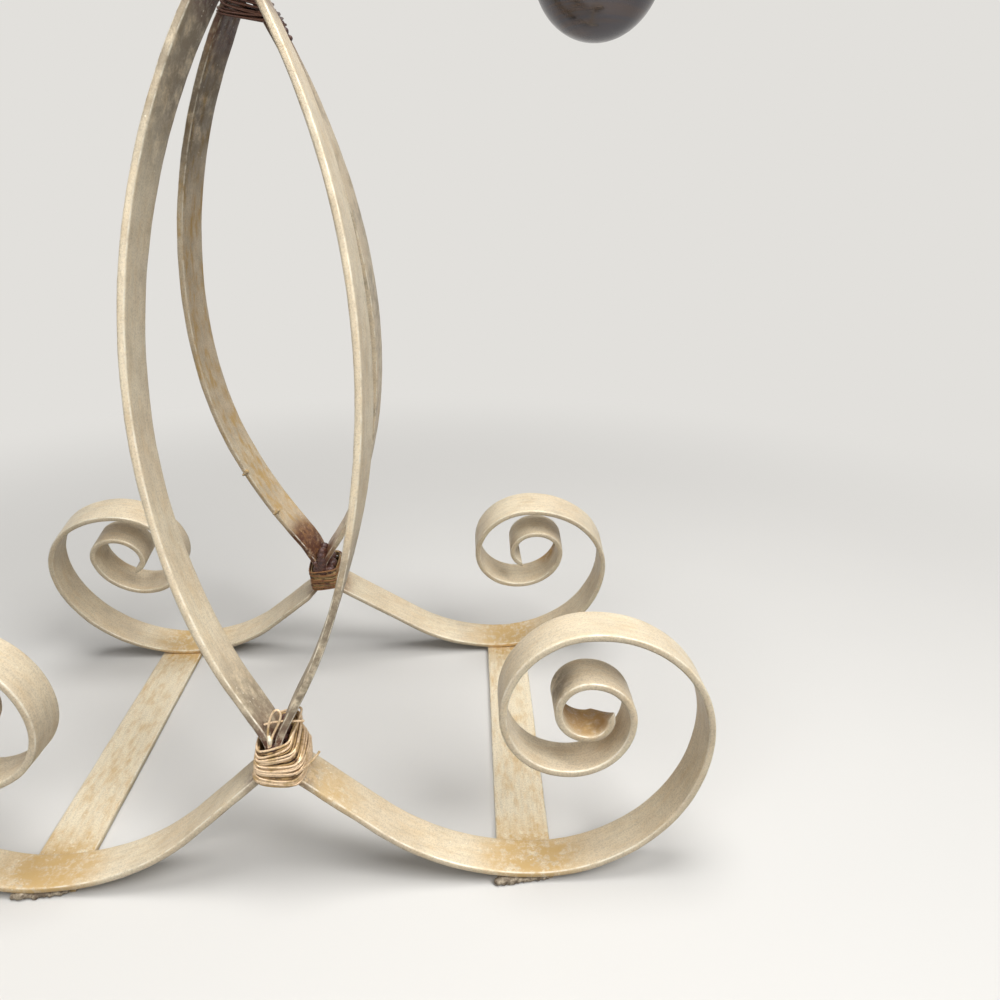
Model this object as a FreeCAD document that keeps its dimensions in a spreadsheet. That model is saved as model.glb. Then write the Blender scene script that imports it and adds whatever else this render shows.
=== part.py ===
import FreeCAD, Part
import math
import os

# Wrought-iron candelabra: two lens-shaped frames on scrolled feet lean together over two cross straps
# and carry a pair of candle cups. Millimetres, +Z up, front towards -Y, resting on Z = 0.

Vector = FreeCAD.Vector

SIZES = (
    ("bar_width", 19.0, "flat bar of feet, uprights and arms"),
    ("bar_thickness", 3.2, "thickness of all flat bar"),
    ("strap_width", 25.0, "cross straps and top strap"),
    ("strap_overhang", 2.0, "strap end past the outer edge of a foot"),
    ("right_strap_reach", 103.0, "right strap centre line from the middle"),
    ("left_strap_reach", 106.5, "left strap centre line from the middle, at the front"),
    ("left_strap_toe", 6.5, "how far the left strap swings out towards the rear"),
    ("frame_spacing", 188.0, "front to rear distance of the frame planes at the feet"),
    ("neck_spacing", 44.0, "front to rear distance of the frame planes at the necks"),
    ("front_waist", 71.5, "lower end of the front uprights"),
    ("rear_waist", 70.0, "lower end of the rear uprights"),
    ("front_lean_angle", 0.0, "inward lean of the front feet, degrees"),
    ("rear_lean_angle", 15.0, "inward lean of the rear feet, degrees"),
    ("rear_offset", -11.5, "sideways set of the rear frame at its waist"),
    ("front_neck_offset", -3.3, "sideways set of the front neck"),
    ("rear_neck_offset", -10.3, "sideways set of the rear neck"),
    ("neck_height", 370.0, "height at which the uprights run parallel"),
    ("neck_length", 11.0, "parallel run above that height"),
    ("neck_radius", 12.0, "bend from the bow into the neck"),
    ("front_left_bow", 46.9, "widest offset of an upright's centre line"),
    ("front_right_bow", 41.4, ""),
    ("rear_left_bow", 48.0, ""),
    ("rear_right_bow", 42.8, ""),
    ("front_angle", 42.3, "slope of the front feet at the waist, degrees"),
    ("rear_right_angle", 37.5, "slope of the rear right foot at the waist, degrees"),
    ("rear_left_angle", 41.5, "slope of the rear left foot at the waist, degrees"),
    ("front_reach", 108.9, "lowest point of a front foot from its frame's middle"),
    ("rear_right_reach", 108.8, "lowest point of the rear right foot"),
    ("rear_left_reach", 97.0, "lowest point of the rear left foot"),
    ("rear_right_lap", 2.0, "how far the rear right foot's end is set below the waist"),
    ("rear_left_lap", 6.5, "how far the rear left foot's end is set below the waist"),
    ("front_coil_a", 71.5, "front scroll, radius of the outer face, quarter by quarter"),
    ("front_coil_b", 51.5, ""),
    ("front_coil_c", 37.8, ""),
    ("front_coil_d", 30.4, ""),
    ("front_coil_e", 25.9, ""),
    ("front_coil_f", 20.1, ""),
    ("front_coil_g", 13.8, ""),
    ("front_coil_i", 14.8, ""),
    ("front_coil_j", 10.0, ""),
    ("rear_coil_a", 66.5, "rear scroll, radius of the outer face, quarter by quarter"),
    ("rear_coil_b", 48.0, ""),
    ("rear_coil_c", 32.9, ""),
    ("rear_coil_d", 27.0, ""),
    ("rear_coil_e", 26.4, ""),
    ("rear_coil_f", 16.9, ""),
    ("rear_coil_g", 15.2, ""),
    ("rear_coil_i", 12.0, ""),
    ("rear_coil_j", 9.0, ""),
    ("front_tip_angle", 57.0, "turn of the front scrolls' last step, degrees"),
    ("rear_tip_angle", 20.0, "turn of the rear scrolls' last step, degrees"),
    ("wire_diameter", 1.2, "binding wire"),
    ("wire_pitch", 1.7, "rise of one turn of the binding"),
    ("wire_bend", 1.8, "bend of the wire at a bar edge"),
    ("front_lower_turns", 12.0, "turns of the front lower binding"),
    ("rear_lower_turns", 9.0, "turns of the rear lower binding"),
    ("upper_turns", 12.0, "turns of an upper binding"),
    ("front_lower_drop", 13.0, "start of the front lower binding below the waist"),
    ("rear_lower_drop", 9.0, "start of the rear lower binding below the waist"),
    ("upper_drop", 12.5, "start of an upper binding below the neck"),
    ("arm_flat", 14.0, "run of an arm along the top strap"),
    ("arm_tail", 8.0, "level run of an arm at its ring"),
    ("arm_bend", 25.0, "bend radius at either end of an arm's arch"),
    ("arm_angle", 50.0, "steepest slope of an arm, degrees"),
    ("cup_reach", 141.1, "cup centre from the middle of the top strap"),
    ("cup_radius", 24.6, "outside of a cup"),
    ("cup_wall", 1.2, "sheet of a cup"),
    ("cup_depth", 45.0, "bottom of a cup to the underside of its rim"),
    ("cup_rim", 2.8, "width of the rim that rests on the ring"),
    ("ring_thickness", 2.4, "hoop round a cup"),
    ("ring_depth", 11.0, "depth of the hoop"),
    ("ring_above_arm", 6.0, "top of the hoop above the arm's underside"),
    ("cup_play", 0.4, "play of a cup in its ring"),
    ("fit_gap", 0.3, "clearance between worked surfaces"),
)

doc = FreeCAD.newDocument("candelabra")
sheet = doc.addObject("Spreadsheet::Sheet", "sizes")
for row, (alias, value, note) in enumerate(SIZES, start=1):
    sheet.set("A%d" % row, note)
    sheet.set("B%d" % row, str(value))
    sheet.setAlias("B%d" % row, alias)
doc.recompute()


def size(alias):
    return float(sheet.get(alias))


width = size("bar_width")
thick = size("bar_thickness")
gap = size("fit_gap")
half_width = width / 2
half_thick = thick / 2
wire_radius = size("wire_diameter") / 2
QUARTER = math.pi / 2
COIL_STEPS = "abcdefgij"
CORNER_ORDER = ((1, 1), (-1, 1), (-1, -1), (1, -1))
SAMPLES = 6
SIDES = (("left", -1), ("right", 1))


class Outline:
    """Edges of a closed flat-bar outline in a sketch plane; hand -1 mirrors it to the left."""

    def __init__(self, hand):
        self.hand = hand
        self.edges = []

    def point(self, x, z):
        return Vector(self.hand * x, z, 0)

    def line(self, start, end):
        self.edges.append(Part.LineSegment(self.point(*start), self.point(*end)))

    def arc(self, centre, radius, low, high):
        if self.hand < 0:
            low, high = math.pi - high, math.pi - low
        circle = Part.Circle(self.point(*centre), Vector(0, 0, 1), radius)
        self.edges.append(Part.ArcOfCircle(circle, low, high))


def on_circle(centre, radius, angle):
    return (centre[0] + radius * math.cos(angle), centre[1] + radius * math.sin(angle))


def new_sketch(body, plane, edges):
    sketch = body.newObject("Sketcher::SketchObject", body.Name + "_" + plane[:2].lower())
    support = [item for item in body.Origin.OriginFeatures if item.Role == plane][0]
    sketch.AttachmentSupport = [(support, "")]
    sketch.MapMode = "FlatFace"
    for edge in edges:
        sketch.addGeometry(edge)
    return sketch


def new_body(node):
    body = doc.addObject("PartDesign::Body", node)
    body.Label = node
    return body


def padded(node, plane, edges, length, placement):
    """A body whose sketched outline is padded by the same amount to either side of its plane."""
    body = new_body(node)
    pad = body.newObject("PartDesign::Pad", node + "_pad")
    pad.Profile = new_sketch(body, plane, edges)
    pad.SideType = "Symmetric"
    pad.setExpression("Length", "sizes." + length)
    body.Placement = placement
    return body


def at(x, y, z):
    return FreeCAD.Placement(Vector(x, y, z), FreeCAD.Rotation())


class Bow:
    """Centre line of one upright in its frame's plane: a long arc and the bend into the neck."""

    def __init__(self, half_span, rise):
        neck_radius = size("neck_radius")
        bow = half_span - half_thick
        self.rise = rise
        self.middle = rise / 2 - neck_radius * bow / rise
        self.radius = (bow * bow + self.middle * self.middle) / (2 * bow)
        self.centre = (half_span - self.radius, self.middle)
        self.neck_centre = (half_thick + neck_radius, rise)
        self.low = -math.asin(self.middle / self.radius)
        self.high = math.atan2(rise - self.middle, self.neck_centre[0] - self.centre[0])

    def outer_face(self, along):
        """Offset of the outer face from the frame's axis, at a distance up from the waist."""
        if along >= self.rise:
            return thick
        neck_outer = size("neck_radius") - half_thick
        below = self.rise - along
        if below < neck_outer * math.sin(self.high):
            return self.neck_centre[0] - math.sqrt(neck_outer ** 2 - below ** 2)
        outer = self.radius + half_thick
        return self.centre[0] + math.sqrt(outer ** 2 - (along - self.middle) ** 2)


class Frame:
    """One lens of two uprights on a pair of feet: its waist, its neck and the planes its bars bend in."""

    def __init__(self, name, outward, offset, neck_offset):
        lean = math.radians(size("%s_lean_angle" % name))
        height = size("%s_waist" % name)
        self.strap_level = (thick + half_width * math.sin(lean) - height) / math.cos(lean)
        depth = size("frame_spacing") / 2 + self.strap_level * math.sin(lean)
        waist = Vector(offset, outward * depth, height)
        neck = Vector(neck_offset, outward * size("neck_spacing") / 2, size("neck_height"))
        stand = FreeCAD.Rotation(Vector(1, 0, 0), outward * math.degrees(lean))
        self.foot_plane = FreeCAD.Placement(waist, stand)
        up = neck - waist
        self.rise = up.Length
        up.normalize()
        across = Vector(1, 0, 0) - up * up.x
        across.normalize()
        turn = FreeCAD.Rotation(across, up.cross(across), up, "ZXY")
        self.placement = FreeCAD.Placement(waist, turn)
        rising = stand.inverted().multVec(up)
        self.cos_lean = rising.z
        self.inward = rising.y / rising.z
        self.bows = {hand: Bow(size("%s_%s_bow" % (name, side)), self.rise) for side, hand in SIDES}
        steepest = min(bow.middle / bow.radius for bow in self.bows.values())
        seat_rise = half_thick * steepest * rising.z
        self.foot_peak = seat_rise - half_width * abs(rising.y) - gap

    def outer_face(self, along):
        return max(bow.outer_face(along) for bow in self.bows.values())


frames = {
    "front": Frame("front", -1, 0, size("front_neck_offset")),
    "rear": Frame("rear", 1, size("rear_offset"), size("rear_neck_offset")),
}


def upright(node, frame, hand):
    """Bowed bar: square lower end, one long arc, a short bend back and the parallel neck."""
    outline = Outline(hand)
    bow = frame.bows[hand]
    neck_radius = size("neck_radius")
    top = frame.rise + size("neck_length")
    outer = bow.radius + half_thick
    inner = bow.radius - half_thick
    outline.line(on_circle(bow.centre, inner, bow.low), on_circle(bow.centre, outer, bow.low))
    outline.arc(bow.centre, outer, bow.low, bow.high)
    outline.arc(bow.centre, inner, bow.low, bow.high)
    outline.arc(bow.neck_centre, neck_radius - half_thick, math.pi, math.pi + bow.high)
    outline.arc(bow.neck_centre, neck_radius + half_thick, math.pi, math.pi + bow.high)
    outline.line((thick, frame.rise), (thick, top))
    outline.line((thick, top), (0, top))
    outline.line((0, top), (0, frame.rise))
    return padded(node, "XZ_Plane", outline.edges, "bar_width", frame.placement)


def foot(node, frame, hand, reach, slope, coil, tip, lap):
    """Scrolled bar: straight from the waist, a long sweep to the strap, then a volute in quarters."""
    outline = Outline(hand)
    sine, cosine = math.sin(slope), math.cos(slope)
    peak = frame.foot_peak - lap
    start = peak - thick / cosine
    drop = start - frame.strap_level
    sweep = (reach * sine - drop * cosine) / (1 - cosine)
    straight = (drop * sine - reach * (1 - cosine)) / (1 - cosine)
    centre = (reach, frame.strap_level + sweep)
    sweep_start = -QUARTER - slope
    outline.line((0, start), (straight * cosine, start - straight * sine))
    outline.arc(centre, sweep, sweep_start, -QUARTER)
    outline.arc(centre, sweep - thick, sweep_start, -QUARTER)
    inner_start = on_circle(centre, sweep - thick, sweep_start)
    outline.line(inner_start, (0, peak))
    outline.line((0, peak), (0, start))
    angle = -QUARTER
    radius = sweep
    turns = [QUARTER] * (len(coil) - 1) + [tip]
    for next_radius, turn in zip(coil, turns):
        centre = on_circle(centre, radius - next_radius, angle)
        radius = next_radius
        outline.arc(centre, radius, angle, angle + turn)
        outline.arc(centre, radius - thick, angle, angle + turn)
        angle += turn
    outline.line(on_circle(centre, radius, angle), on_circle(centre, radius - thick, angle))
    return padded(node, "XZ_Plane", outline.edges, "bar_width", frame.foot_plane)


def strap(node, front_x, rear_x):
    """Flat cross bar under the feet, from the front frame's foot to the rear frame's."""
    run = Vector(rear_x - front_x, size("frame_spacing"), 0)
    bar = doc.addObject("Part::Box", node)
    bar.Label = node
    bar.setExpression("Length", "sizes.strap_width")
    bar.setExpression("Width", "sizes.frame_spacing + sizes.bar_width + 2 * sizes.strap_overhang")
    bar.setExpression("Height", "sizes.bar_thickness")
    turn = FreeCAD.Rotation(Vector(0, 1, 0), run)
    overall = size("frame_spacing") + width + 2 * size("strap_overhang")
    corner = turn.multVec(Vector(-size("strap_width") / 2, -overall / 2, 0))
    bar.Placement = FreeCAD.Placement(Vector((front_x + rear_x) / 2, 0, 0) + corner, turn)
    return bar


def tangent_arc(start, apex, end):
    """Arc from start to end that is tangent to the two equal legs that meet at the apex."""
    middle = (start + end) * 0.5
    half_chord = (end - start).Length / 2
    rise = apex - middle
    turn = math.atan2(rise.Length, half_chord)
    return Part.Arc(start, middle + rise * (half_chord * math.tan(turn / 2) / rise.Length), end)


def binding(node, turns, low, half_span, half_depth, set_in, placement):
    """Wire wound close round flat bars as one unbroken tube: straight runs and bends at the bar edges."""
    pitch = size("wire_pitch")
    bend = size("wire_bend")
    corner_cut = (math.sqrt(2) - 1) * bend
    stand_off = (wire_radius + gap + corner_cut) / math.sqrt(2)
    high = low + pitch * turns
    corners = []
    for step in range(4 * int(turns)):
        height = low + pitch * (step + 0.5) / 4
        x_side, y_side = CORNER_ORDER[step % 4]
        levels = (height - wire_radius, height + wire_radius)
        span = max(half_span(level, y_side) for level in levels)
        y = set_in(height) + y_side * (half_depth + stand_off)
        corners.append(Vector(x_side * (span + stand_off), y, height))
    start = Vector(corners[0].x, set_in(low), low)
    end = Vector(corners[-1].x, set_in(high), high)
    points = [start] + corners + [end]
    curves = []
    cursor = start
    for before, corner, after in zip(points, points[1:], points[2:]):
        into = corner - before
        out = after - corner
        leg = bend * math.tan(into.getAngle(out) / 2)
        arc_start = corner - into.normalize() * leg
        arc_end = corner + out.normalize() * leg
        curves.append(Part.LineSegment(cursor, arc_start))
        curves.append(tangent_arc(arc_start, corner, arc_end))
        cursor = arc_end
    curves.append(Part.LineSegment(cursor, end))
    path = Part.Wire([curve.toShape() for curve in curves])
    section = Part.Wire([Part.Circle(start, corners[0] - start, wire_radius).toShape()])
    wound = doc.addObject("Part::Feature", node)
    wound.Label = node
    wound.Shape = path.makePipeShell([section], True, False)
    wound.Placement = placement
    print(node, "least gap to itself, mm:", round(self_gap(curves), 2))
    return wound


def self_gap(curves):
    """Least clear distance between stretches of the wire that lie half a turn or more apart."""
    samples = []
    for curve in curves:
        span = curve.LastParameter - curve.FirstParameter
        for part in range(SAMPLES):
            samples.append(curve.value(curve.FirstParameter + span * part / SAMPLES))
    half_turn = 4 * SAMPLES
    least = math.inf
    for index, point in enumerate(samples):
        for other in samples[index + half_turn:index + 3 * half_turn]:
            least = min(least, (other - point).Length)
    return least - 2 * wire_radius


def lower_binding(name, slopes):
    """Winding round the crossing at a waist, where the feet part below and the uprights above."""
    node = "%s_lower_binding" % name
    frame = frames[name]
    shallow = math.tan(min(slopes))

    def half_span(height, y_side):
        feet = (frame.foot_peak - height) / shallow
        along = height / frame.cos_lean + y_side * half_width * frame.inward
        bars = frame.outer_face(along) if along > 0 else 0
        return max(feet, bars, thick)

    def set_in(height):
        return max(height, 0) * frame.inward

    turns = size("%s_lower_turns" % name)
    low = -size("%s_lower_drop" % name)
    half_depth = half_width / frame.cos_lean
    return binding(node, turns, low, half_span, half_depth, set_in, frame.foot_plane)


def upper_binding(node, frame):
    low = frame.rise - size("upper_drop")

    def half_span(height, y_side):
        return frame.outer_face(height)

    def set_in(height):
        return 0

    return binding(node, size("upper_turns"), low, half_span, half_width, set_in, frame.placement)


def top_strap(node):
    """Shallow trough: level in the middle, each wing flat on the sloping ends of a frame's uprights."""
    ends = []
    for name, outward in (("front", -1), ("rear", 1)):
        frame = frames[name]
        top = frame.rise + size("neck_length") + gap
        inner = frame.placement.multVec(Vector(0, -outward * half_width, top))
        outer = frame.placement.multVec(Vector(0, outward * half_width, top))
        ends.append((inner, outer))
    (front_in, front_out), (rear_in, rear_out) = ends
    floor = max(front_in.z, rear_in.z)
    under = [(front_out.y, front_out.z), (front_in.y, floor), (rear_in.y, floor), (rear_out.y, rear_out.z)]
    normals = []
    for (y_a, z_a), (y_b, z_b) in zip(under, under[1:]):
        run = math.hypot(y_b - y_a, z_b - z_a)
        normals.append(((z_a - z_b) / run, (y_b - y_a) / run))
    above = []
    for index, (y, z) in enumerate(under):
        before = normals[max(index - 1, 0)]
        after = normals[min(index, len(normals) - 1)]
        share = thick / (1 + before[0] * after[0] + before[1] * after[1])
        above.append((y + share * (before[0] + after[0]), z + share * (before[1] + after[1])))
    corners = under + above[::-1]
    outline = Outline(1)
    for start, end in zip(corners, corners[1:] + corners[:1]):
        outline.line(start, end)
    middle = (size("front_neck_offset") + size("rear_neck_offset")) / 2
    padded(node, "YZ_Plane", outline.edges, "strap_width", at(middle, 0, 0))
    return middle, floor + thick


def arm(node, hand, middle, level):
    """Arched flat bar from the top strap to a ring, its end hollowed to fit round the ring."""
    slope = math.radians(size("arm_angle"))
    sine, cosine = math.sin(slope), math.cos(slope)
    bend = size("arm_bend")
    flat = size("arm_flat")
    reach = size("cup_reach")
    ring_outer = size("cup_radius") + size("cup_play") + size("ring_thickness")
    near_end = reach - ring_outer - size("arm_tail")
    arch = (near_end - flat) / (2 * sine) - bend
    end = reach - ring_outer / 2
    first = (flat, bend)
    crown = (flat + (bend + arch) * sine, bend - (bend + arch) * cosine)
    last = (near_end, bend)
    outline = Outline(hand)
    outline.line((0, 0), (flat, 0))
    outline.line((0, thick), (flat, thick))
    outline.line((0, 0), (0, thick))
    for radius in (bend, bend - thick):
        outline.arc(first, radius, -QUARTER, slope - QUARTER)
        outline.arc(last, radius, -QUARTER - slope, -QUARTER)
    for radius in (arch, arch + thick):
        outline.arc(crown, radius, QUARTER - slope, QUARTER + slope)
    outline.line((near_end, 0), (end, 0))
    outline.line((near_end, thick), (end, thick))
    outline.line((end, 0), (end, thick))
    body = padded(node, "XZ_Plane", outline.edges, "bar_width", at(middle, 0, level))
    hollow = Part.Circle(outline.point(reach, 0), Vector(0, 0, 1), ring_outer + gap)
    pocket = body.newObject("PartDesign::Pocket", node + "_hollow")
    pocket.Profile = new_sketch(body, "XY_Plane", [hollow])
    pocket.SideType = "Symmetric"
    pocket.setExpression("Length", "4 * sizes.bar_thickness")
    return body


def cup_ring(node, x, level):
    """Hoop of flat bar on edge that the cup hangs in."""
    inner = size("cup_radius") + size("cup_play")
    centre = Vector(0, 0, 0)
    circles = [
        Part.Circle(centre, Vector(0, 0, 1), inner),
        Part.Circle(centre, Vector(0, 0, 1), inner + size("ring_thickness")),
    ]
    top = level + size("ring_above_arm")
    middle = top - size("ring_depth") / 2
    return padded(node, "XY_Plane", circles, "ring_depth", at(x, 0, middle)), top


def cup(node, x, ring_top):
    """Spun cup: round bottom, straight wall and a flat rim that rests on the ring."""
    radius = size("cup_radius")
    inner = radius - size("cup_wall")
    depth = size("cup_depth")
    top = depth + size("cup_wall")
    rim = radius + size("cup_rim")
    outline = Outline(1)
    outline.arc((0, radius), radius, -QUARTER, 0)
    outline.line((radius, radius), (radius, depth))
    outline.line((radius, depth), (rim, depth))
    outline.line((rim, depth), (rim, top))
    outline.line((rim, top), (inner, top))
    outline.line((inner, top), (inner, radius))
    outline.arc((0, radius), inner, -QUARTER, 0)
    outline.line((0, radius - inner), (0, 0))
    body = new_body(node)
    sketch = new_sketch(body, "XZ_Plane", outline.edges)
    spun = body.newObject("PartDesign::Revolution", node + "_spun")
    spun.Profile = sketch
    spun.ReferenceAxis = (sketch, ["V_Axis"])
    spun.Angle = 360
    body.Placement = at(x, 0, ring_top - depth)
    return body


def coil(prefix):
    return [size("%s_coil_%s" % (prefix, step)) for step in COIL_STEPS]


def slope_of(alias):
    return math.radians(size(alias))


front, rear = frames["front"], frames["rear"]
front_slope = slope_of("front_angle")
rear_slopes = {hand: slope_of("rear_%s_angle" % side) for side, hand in SIDES}
front_tip, rear_tip = slope_of("front_tip_angle"), slope_of("rear_tip_angle")
subparts = []
for side, hand in SIDES:
    reach = size("front_reach")
    subparts.append(foot("front_%s_foot" % side, front, hand, reach, front_slope, coil("front"), front_tip, 0))
    reach = size("rear_%s_reach" % side)
    slope = rear_slopes[hand]
    lap = size("rear_%s_lap" % side)
    subparts.append(foot("rear_%s_foot" % side, rear, hand, reach, slope, coil("rear"), rear_tip, lap))
    subparts.append(upright("front_%s_upright" % side, front, hand))
    subparts.append(upright("rear_%s_upright" % side, rear, hand))

left_reach = size("left_strap_reach")
right_reach = size("right_strap_reach")
subparts.append(strap("left_strap", -left_reach, -left_reach - size("left_strap_toe")))
subparts.append(strap("right_strap", right_reach, right_reach))
subparts.append(lower_binding("front", [front_slope]))
subparts.append(lower_binding("rear", list(rear_slopes.values())))
subparts.append(upper_binding("front_upper_binding", front))
subparts.append(upper_binding("rear_upper_binding", rear))

middle_x, arm_level = top_strap("top_strap")
subparts.append(doc.getObject("top_strap"))
for side, hand in SIDES:
    cup_x = middle_x + hand * size("cup_reach")
    subparts.append(arm("%s_arm" % side, hand, middle_x, arm_level))
    ring, ring_top = cup_ring("%s_cup_ring" % side, cup_x, arm_level)
    subparts.append(ring)
    subparts.append(cup("%s_cup" % side, cup_x, ring_top))

doc.recompute()
for item in doc.Objects:
    if "Invalid" in item.State or "Error" in item.State:
        raise RuntimeError("%s did not recompute: %s" % (item.Label, item.State))

os.makedirs("parts", exist_ok=True)
for item in subparts:
    if item.Shape.isNull() or not item.Shape.isValid():
        raise RuntimeError("%s has no valid shape" % item.Label)
    item.Shape.exportStep("parts/%s.step" % item.Label)
    box = item.Shape.BoundBox
    limits = (box.XMin, box.XMax, box.YMin, box.YMax, box.ZMin, box.ZMax)
    print(item.Label, [round(value, 1) for value in limits])
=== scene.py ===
import math
import random

import bpy
from bpy.props import FloatProperty, FloatVectorProperty, PointerProperty
from mathutils import Matrix, Vector


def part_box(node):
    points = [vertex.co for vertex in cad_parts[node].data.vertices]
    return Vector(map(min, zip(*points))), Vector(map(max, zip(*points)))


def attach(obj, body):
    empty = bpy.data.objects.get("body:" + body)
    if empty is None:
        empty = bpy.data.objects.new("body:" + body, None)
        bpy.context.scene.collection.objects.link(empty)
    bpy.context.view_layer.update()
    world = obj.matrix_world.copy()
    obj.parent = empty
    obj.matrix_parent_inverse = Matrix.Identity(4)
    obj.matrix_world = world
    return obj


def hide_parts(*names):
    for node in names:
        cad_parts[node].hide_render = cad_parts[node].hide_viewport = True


bl_info = {
    "name": "Wrought Iron Candelabra",
    "version": (1, 0, 0),
    "blender": (4, 5, 0),
    "location": "View3D > Sidebar > Candelabra",
    "description": "Dresses a two-cup candelabra of bent flat iron on its fixed frame",
    "category": "Add Mesh",
}

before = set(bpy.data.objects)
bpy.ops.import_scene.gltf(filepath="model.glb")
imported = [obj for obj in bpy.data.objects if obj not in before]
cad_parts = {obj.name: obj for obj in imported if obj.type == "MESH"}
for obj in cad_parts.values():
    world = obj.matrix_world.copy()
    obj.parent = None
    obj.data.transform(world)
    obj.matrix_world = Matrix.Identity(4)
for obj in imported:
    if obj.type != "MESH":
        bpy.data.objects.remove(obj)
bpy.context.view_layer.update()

MM = 0.001
QUARTER = math.pi / 2
SIDES = (("left", -1), ("right", 1))
UPWARD = Vector((0, 0, 1))

# Width in millimetres and detail of the noise of each kind of dent.
DENTS = {"hammer marks": (16, 1), "forge scale": (4.5, 2), "melted ripples": (2.4, 2)}

# Where rust gathers, where shade is painted and where the iron is only darkened: a base, the way from it, and
# how far the spot is full and how far it reaches, in millimetres. The mirrored ones lie in all four corners
# of the base.
JOINT_SPOTS = {
    "Front waist": ("front waist", (0, -6, -2), 8, 30),
    # The spots at the upper left uprights, low on the front right upright and at the inner scroll coils are
    # painted shade. The spot above the front waist darkens the iron there.
    "Neck shade": ("floor", (-42, 0, 335), 30, 72),
    "Low shade": ("floor", (30, -80, 112), 20, 58),
    "Front darkening": ("front waist", (8, 4, 24), 10, 38),
    "Front stain": ("front waist", (22, -6, -16), 6, 26),
    "Rear waist": ("rear waist", (0, -5, 0), 10, 27),
    "Rear stain": ("rear waist", (-9, -8, 14), 11, 27),
    "Front neck": ("front neck", (0, 0, 0), 10, 27),
    "Rear neck": ("rear neck", (0, 0, 0), 12, 33),
    "Straps": ("strap end", (0, 0, 0), 8, 34),
    "Tips": ("floor", (128, 90, 79), 9, 17),
    "Coil shade": ("floor", (111, 94, 101), 5, 16),
}
MIRRORED_SPOTS = ("Straps", "Tips", "Coil shade")
STRAP_END_OUT = 106 * MM
RUST_BELOW_NECK = 15 * MM

# Place and width in metres and power of each lamp. All of them point at the lower middle of the stand.
LAMPS = {
    "key": ((0.85, -0.8, 1.35), 0.8, 18),
    "overhead": ((0.05, -0.2, 1.6), 0.8, 15),
    "fill": ((-0.3, -1.1, 0.9), 0.9, 4.4),
}
LIT_POINT = Vector((0, 0, 0.15))
WORLD_LIGHT = 0.1
CAMERA_PLACE = (0.0819, -0.3534, 0.2789)
CAMERA_TURN = (68.90, 0, -2.19)
CAMERA_LENS = 27.17


def srgb(*screen):
    """Linear colour of an 8-bit screen colour."""
    parts = [value / 255 for value in screen]
    return [part / 12.92 if part <= 0.04045 else ((part + 0.055) / 1.055) ** 2.4 for part in parts]


def length(name, text, millimetres):
    return FloatProperty(
        name=name, description=text, default=millimetres * MM, subtype="DISTANCE", unit="LENGTH"
    )


def angle(name, text, degrees):
    return FloatProperty(
        name=name, description=text, default=math.radians(degrees), subtype="ANGLE", unit="ROTATION"
    )


def lengths(name, text, *millimetres):
    row = [value * MM for value in millimetres]
    return FloatVectorProperty(name=name, description=text, size=len(row), default=row, unit="LENGTH")


def angles(name, text, *degrees):
    row = [math.radians(value) for value in degrees]
    return FloatVectorProperty(name=name, description=text, size=len(row), default=row, unit="ROTATION")


def colour(name, text, *screen):
    return FloatVectorProperty(
        name=name, description=text, size=3, default=srgb(*screen), subtype="COLOR", min=0, max=1
    )


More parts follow.
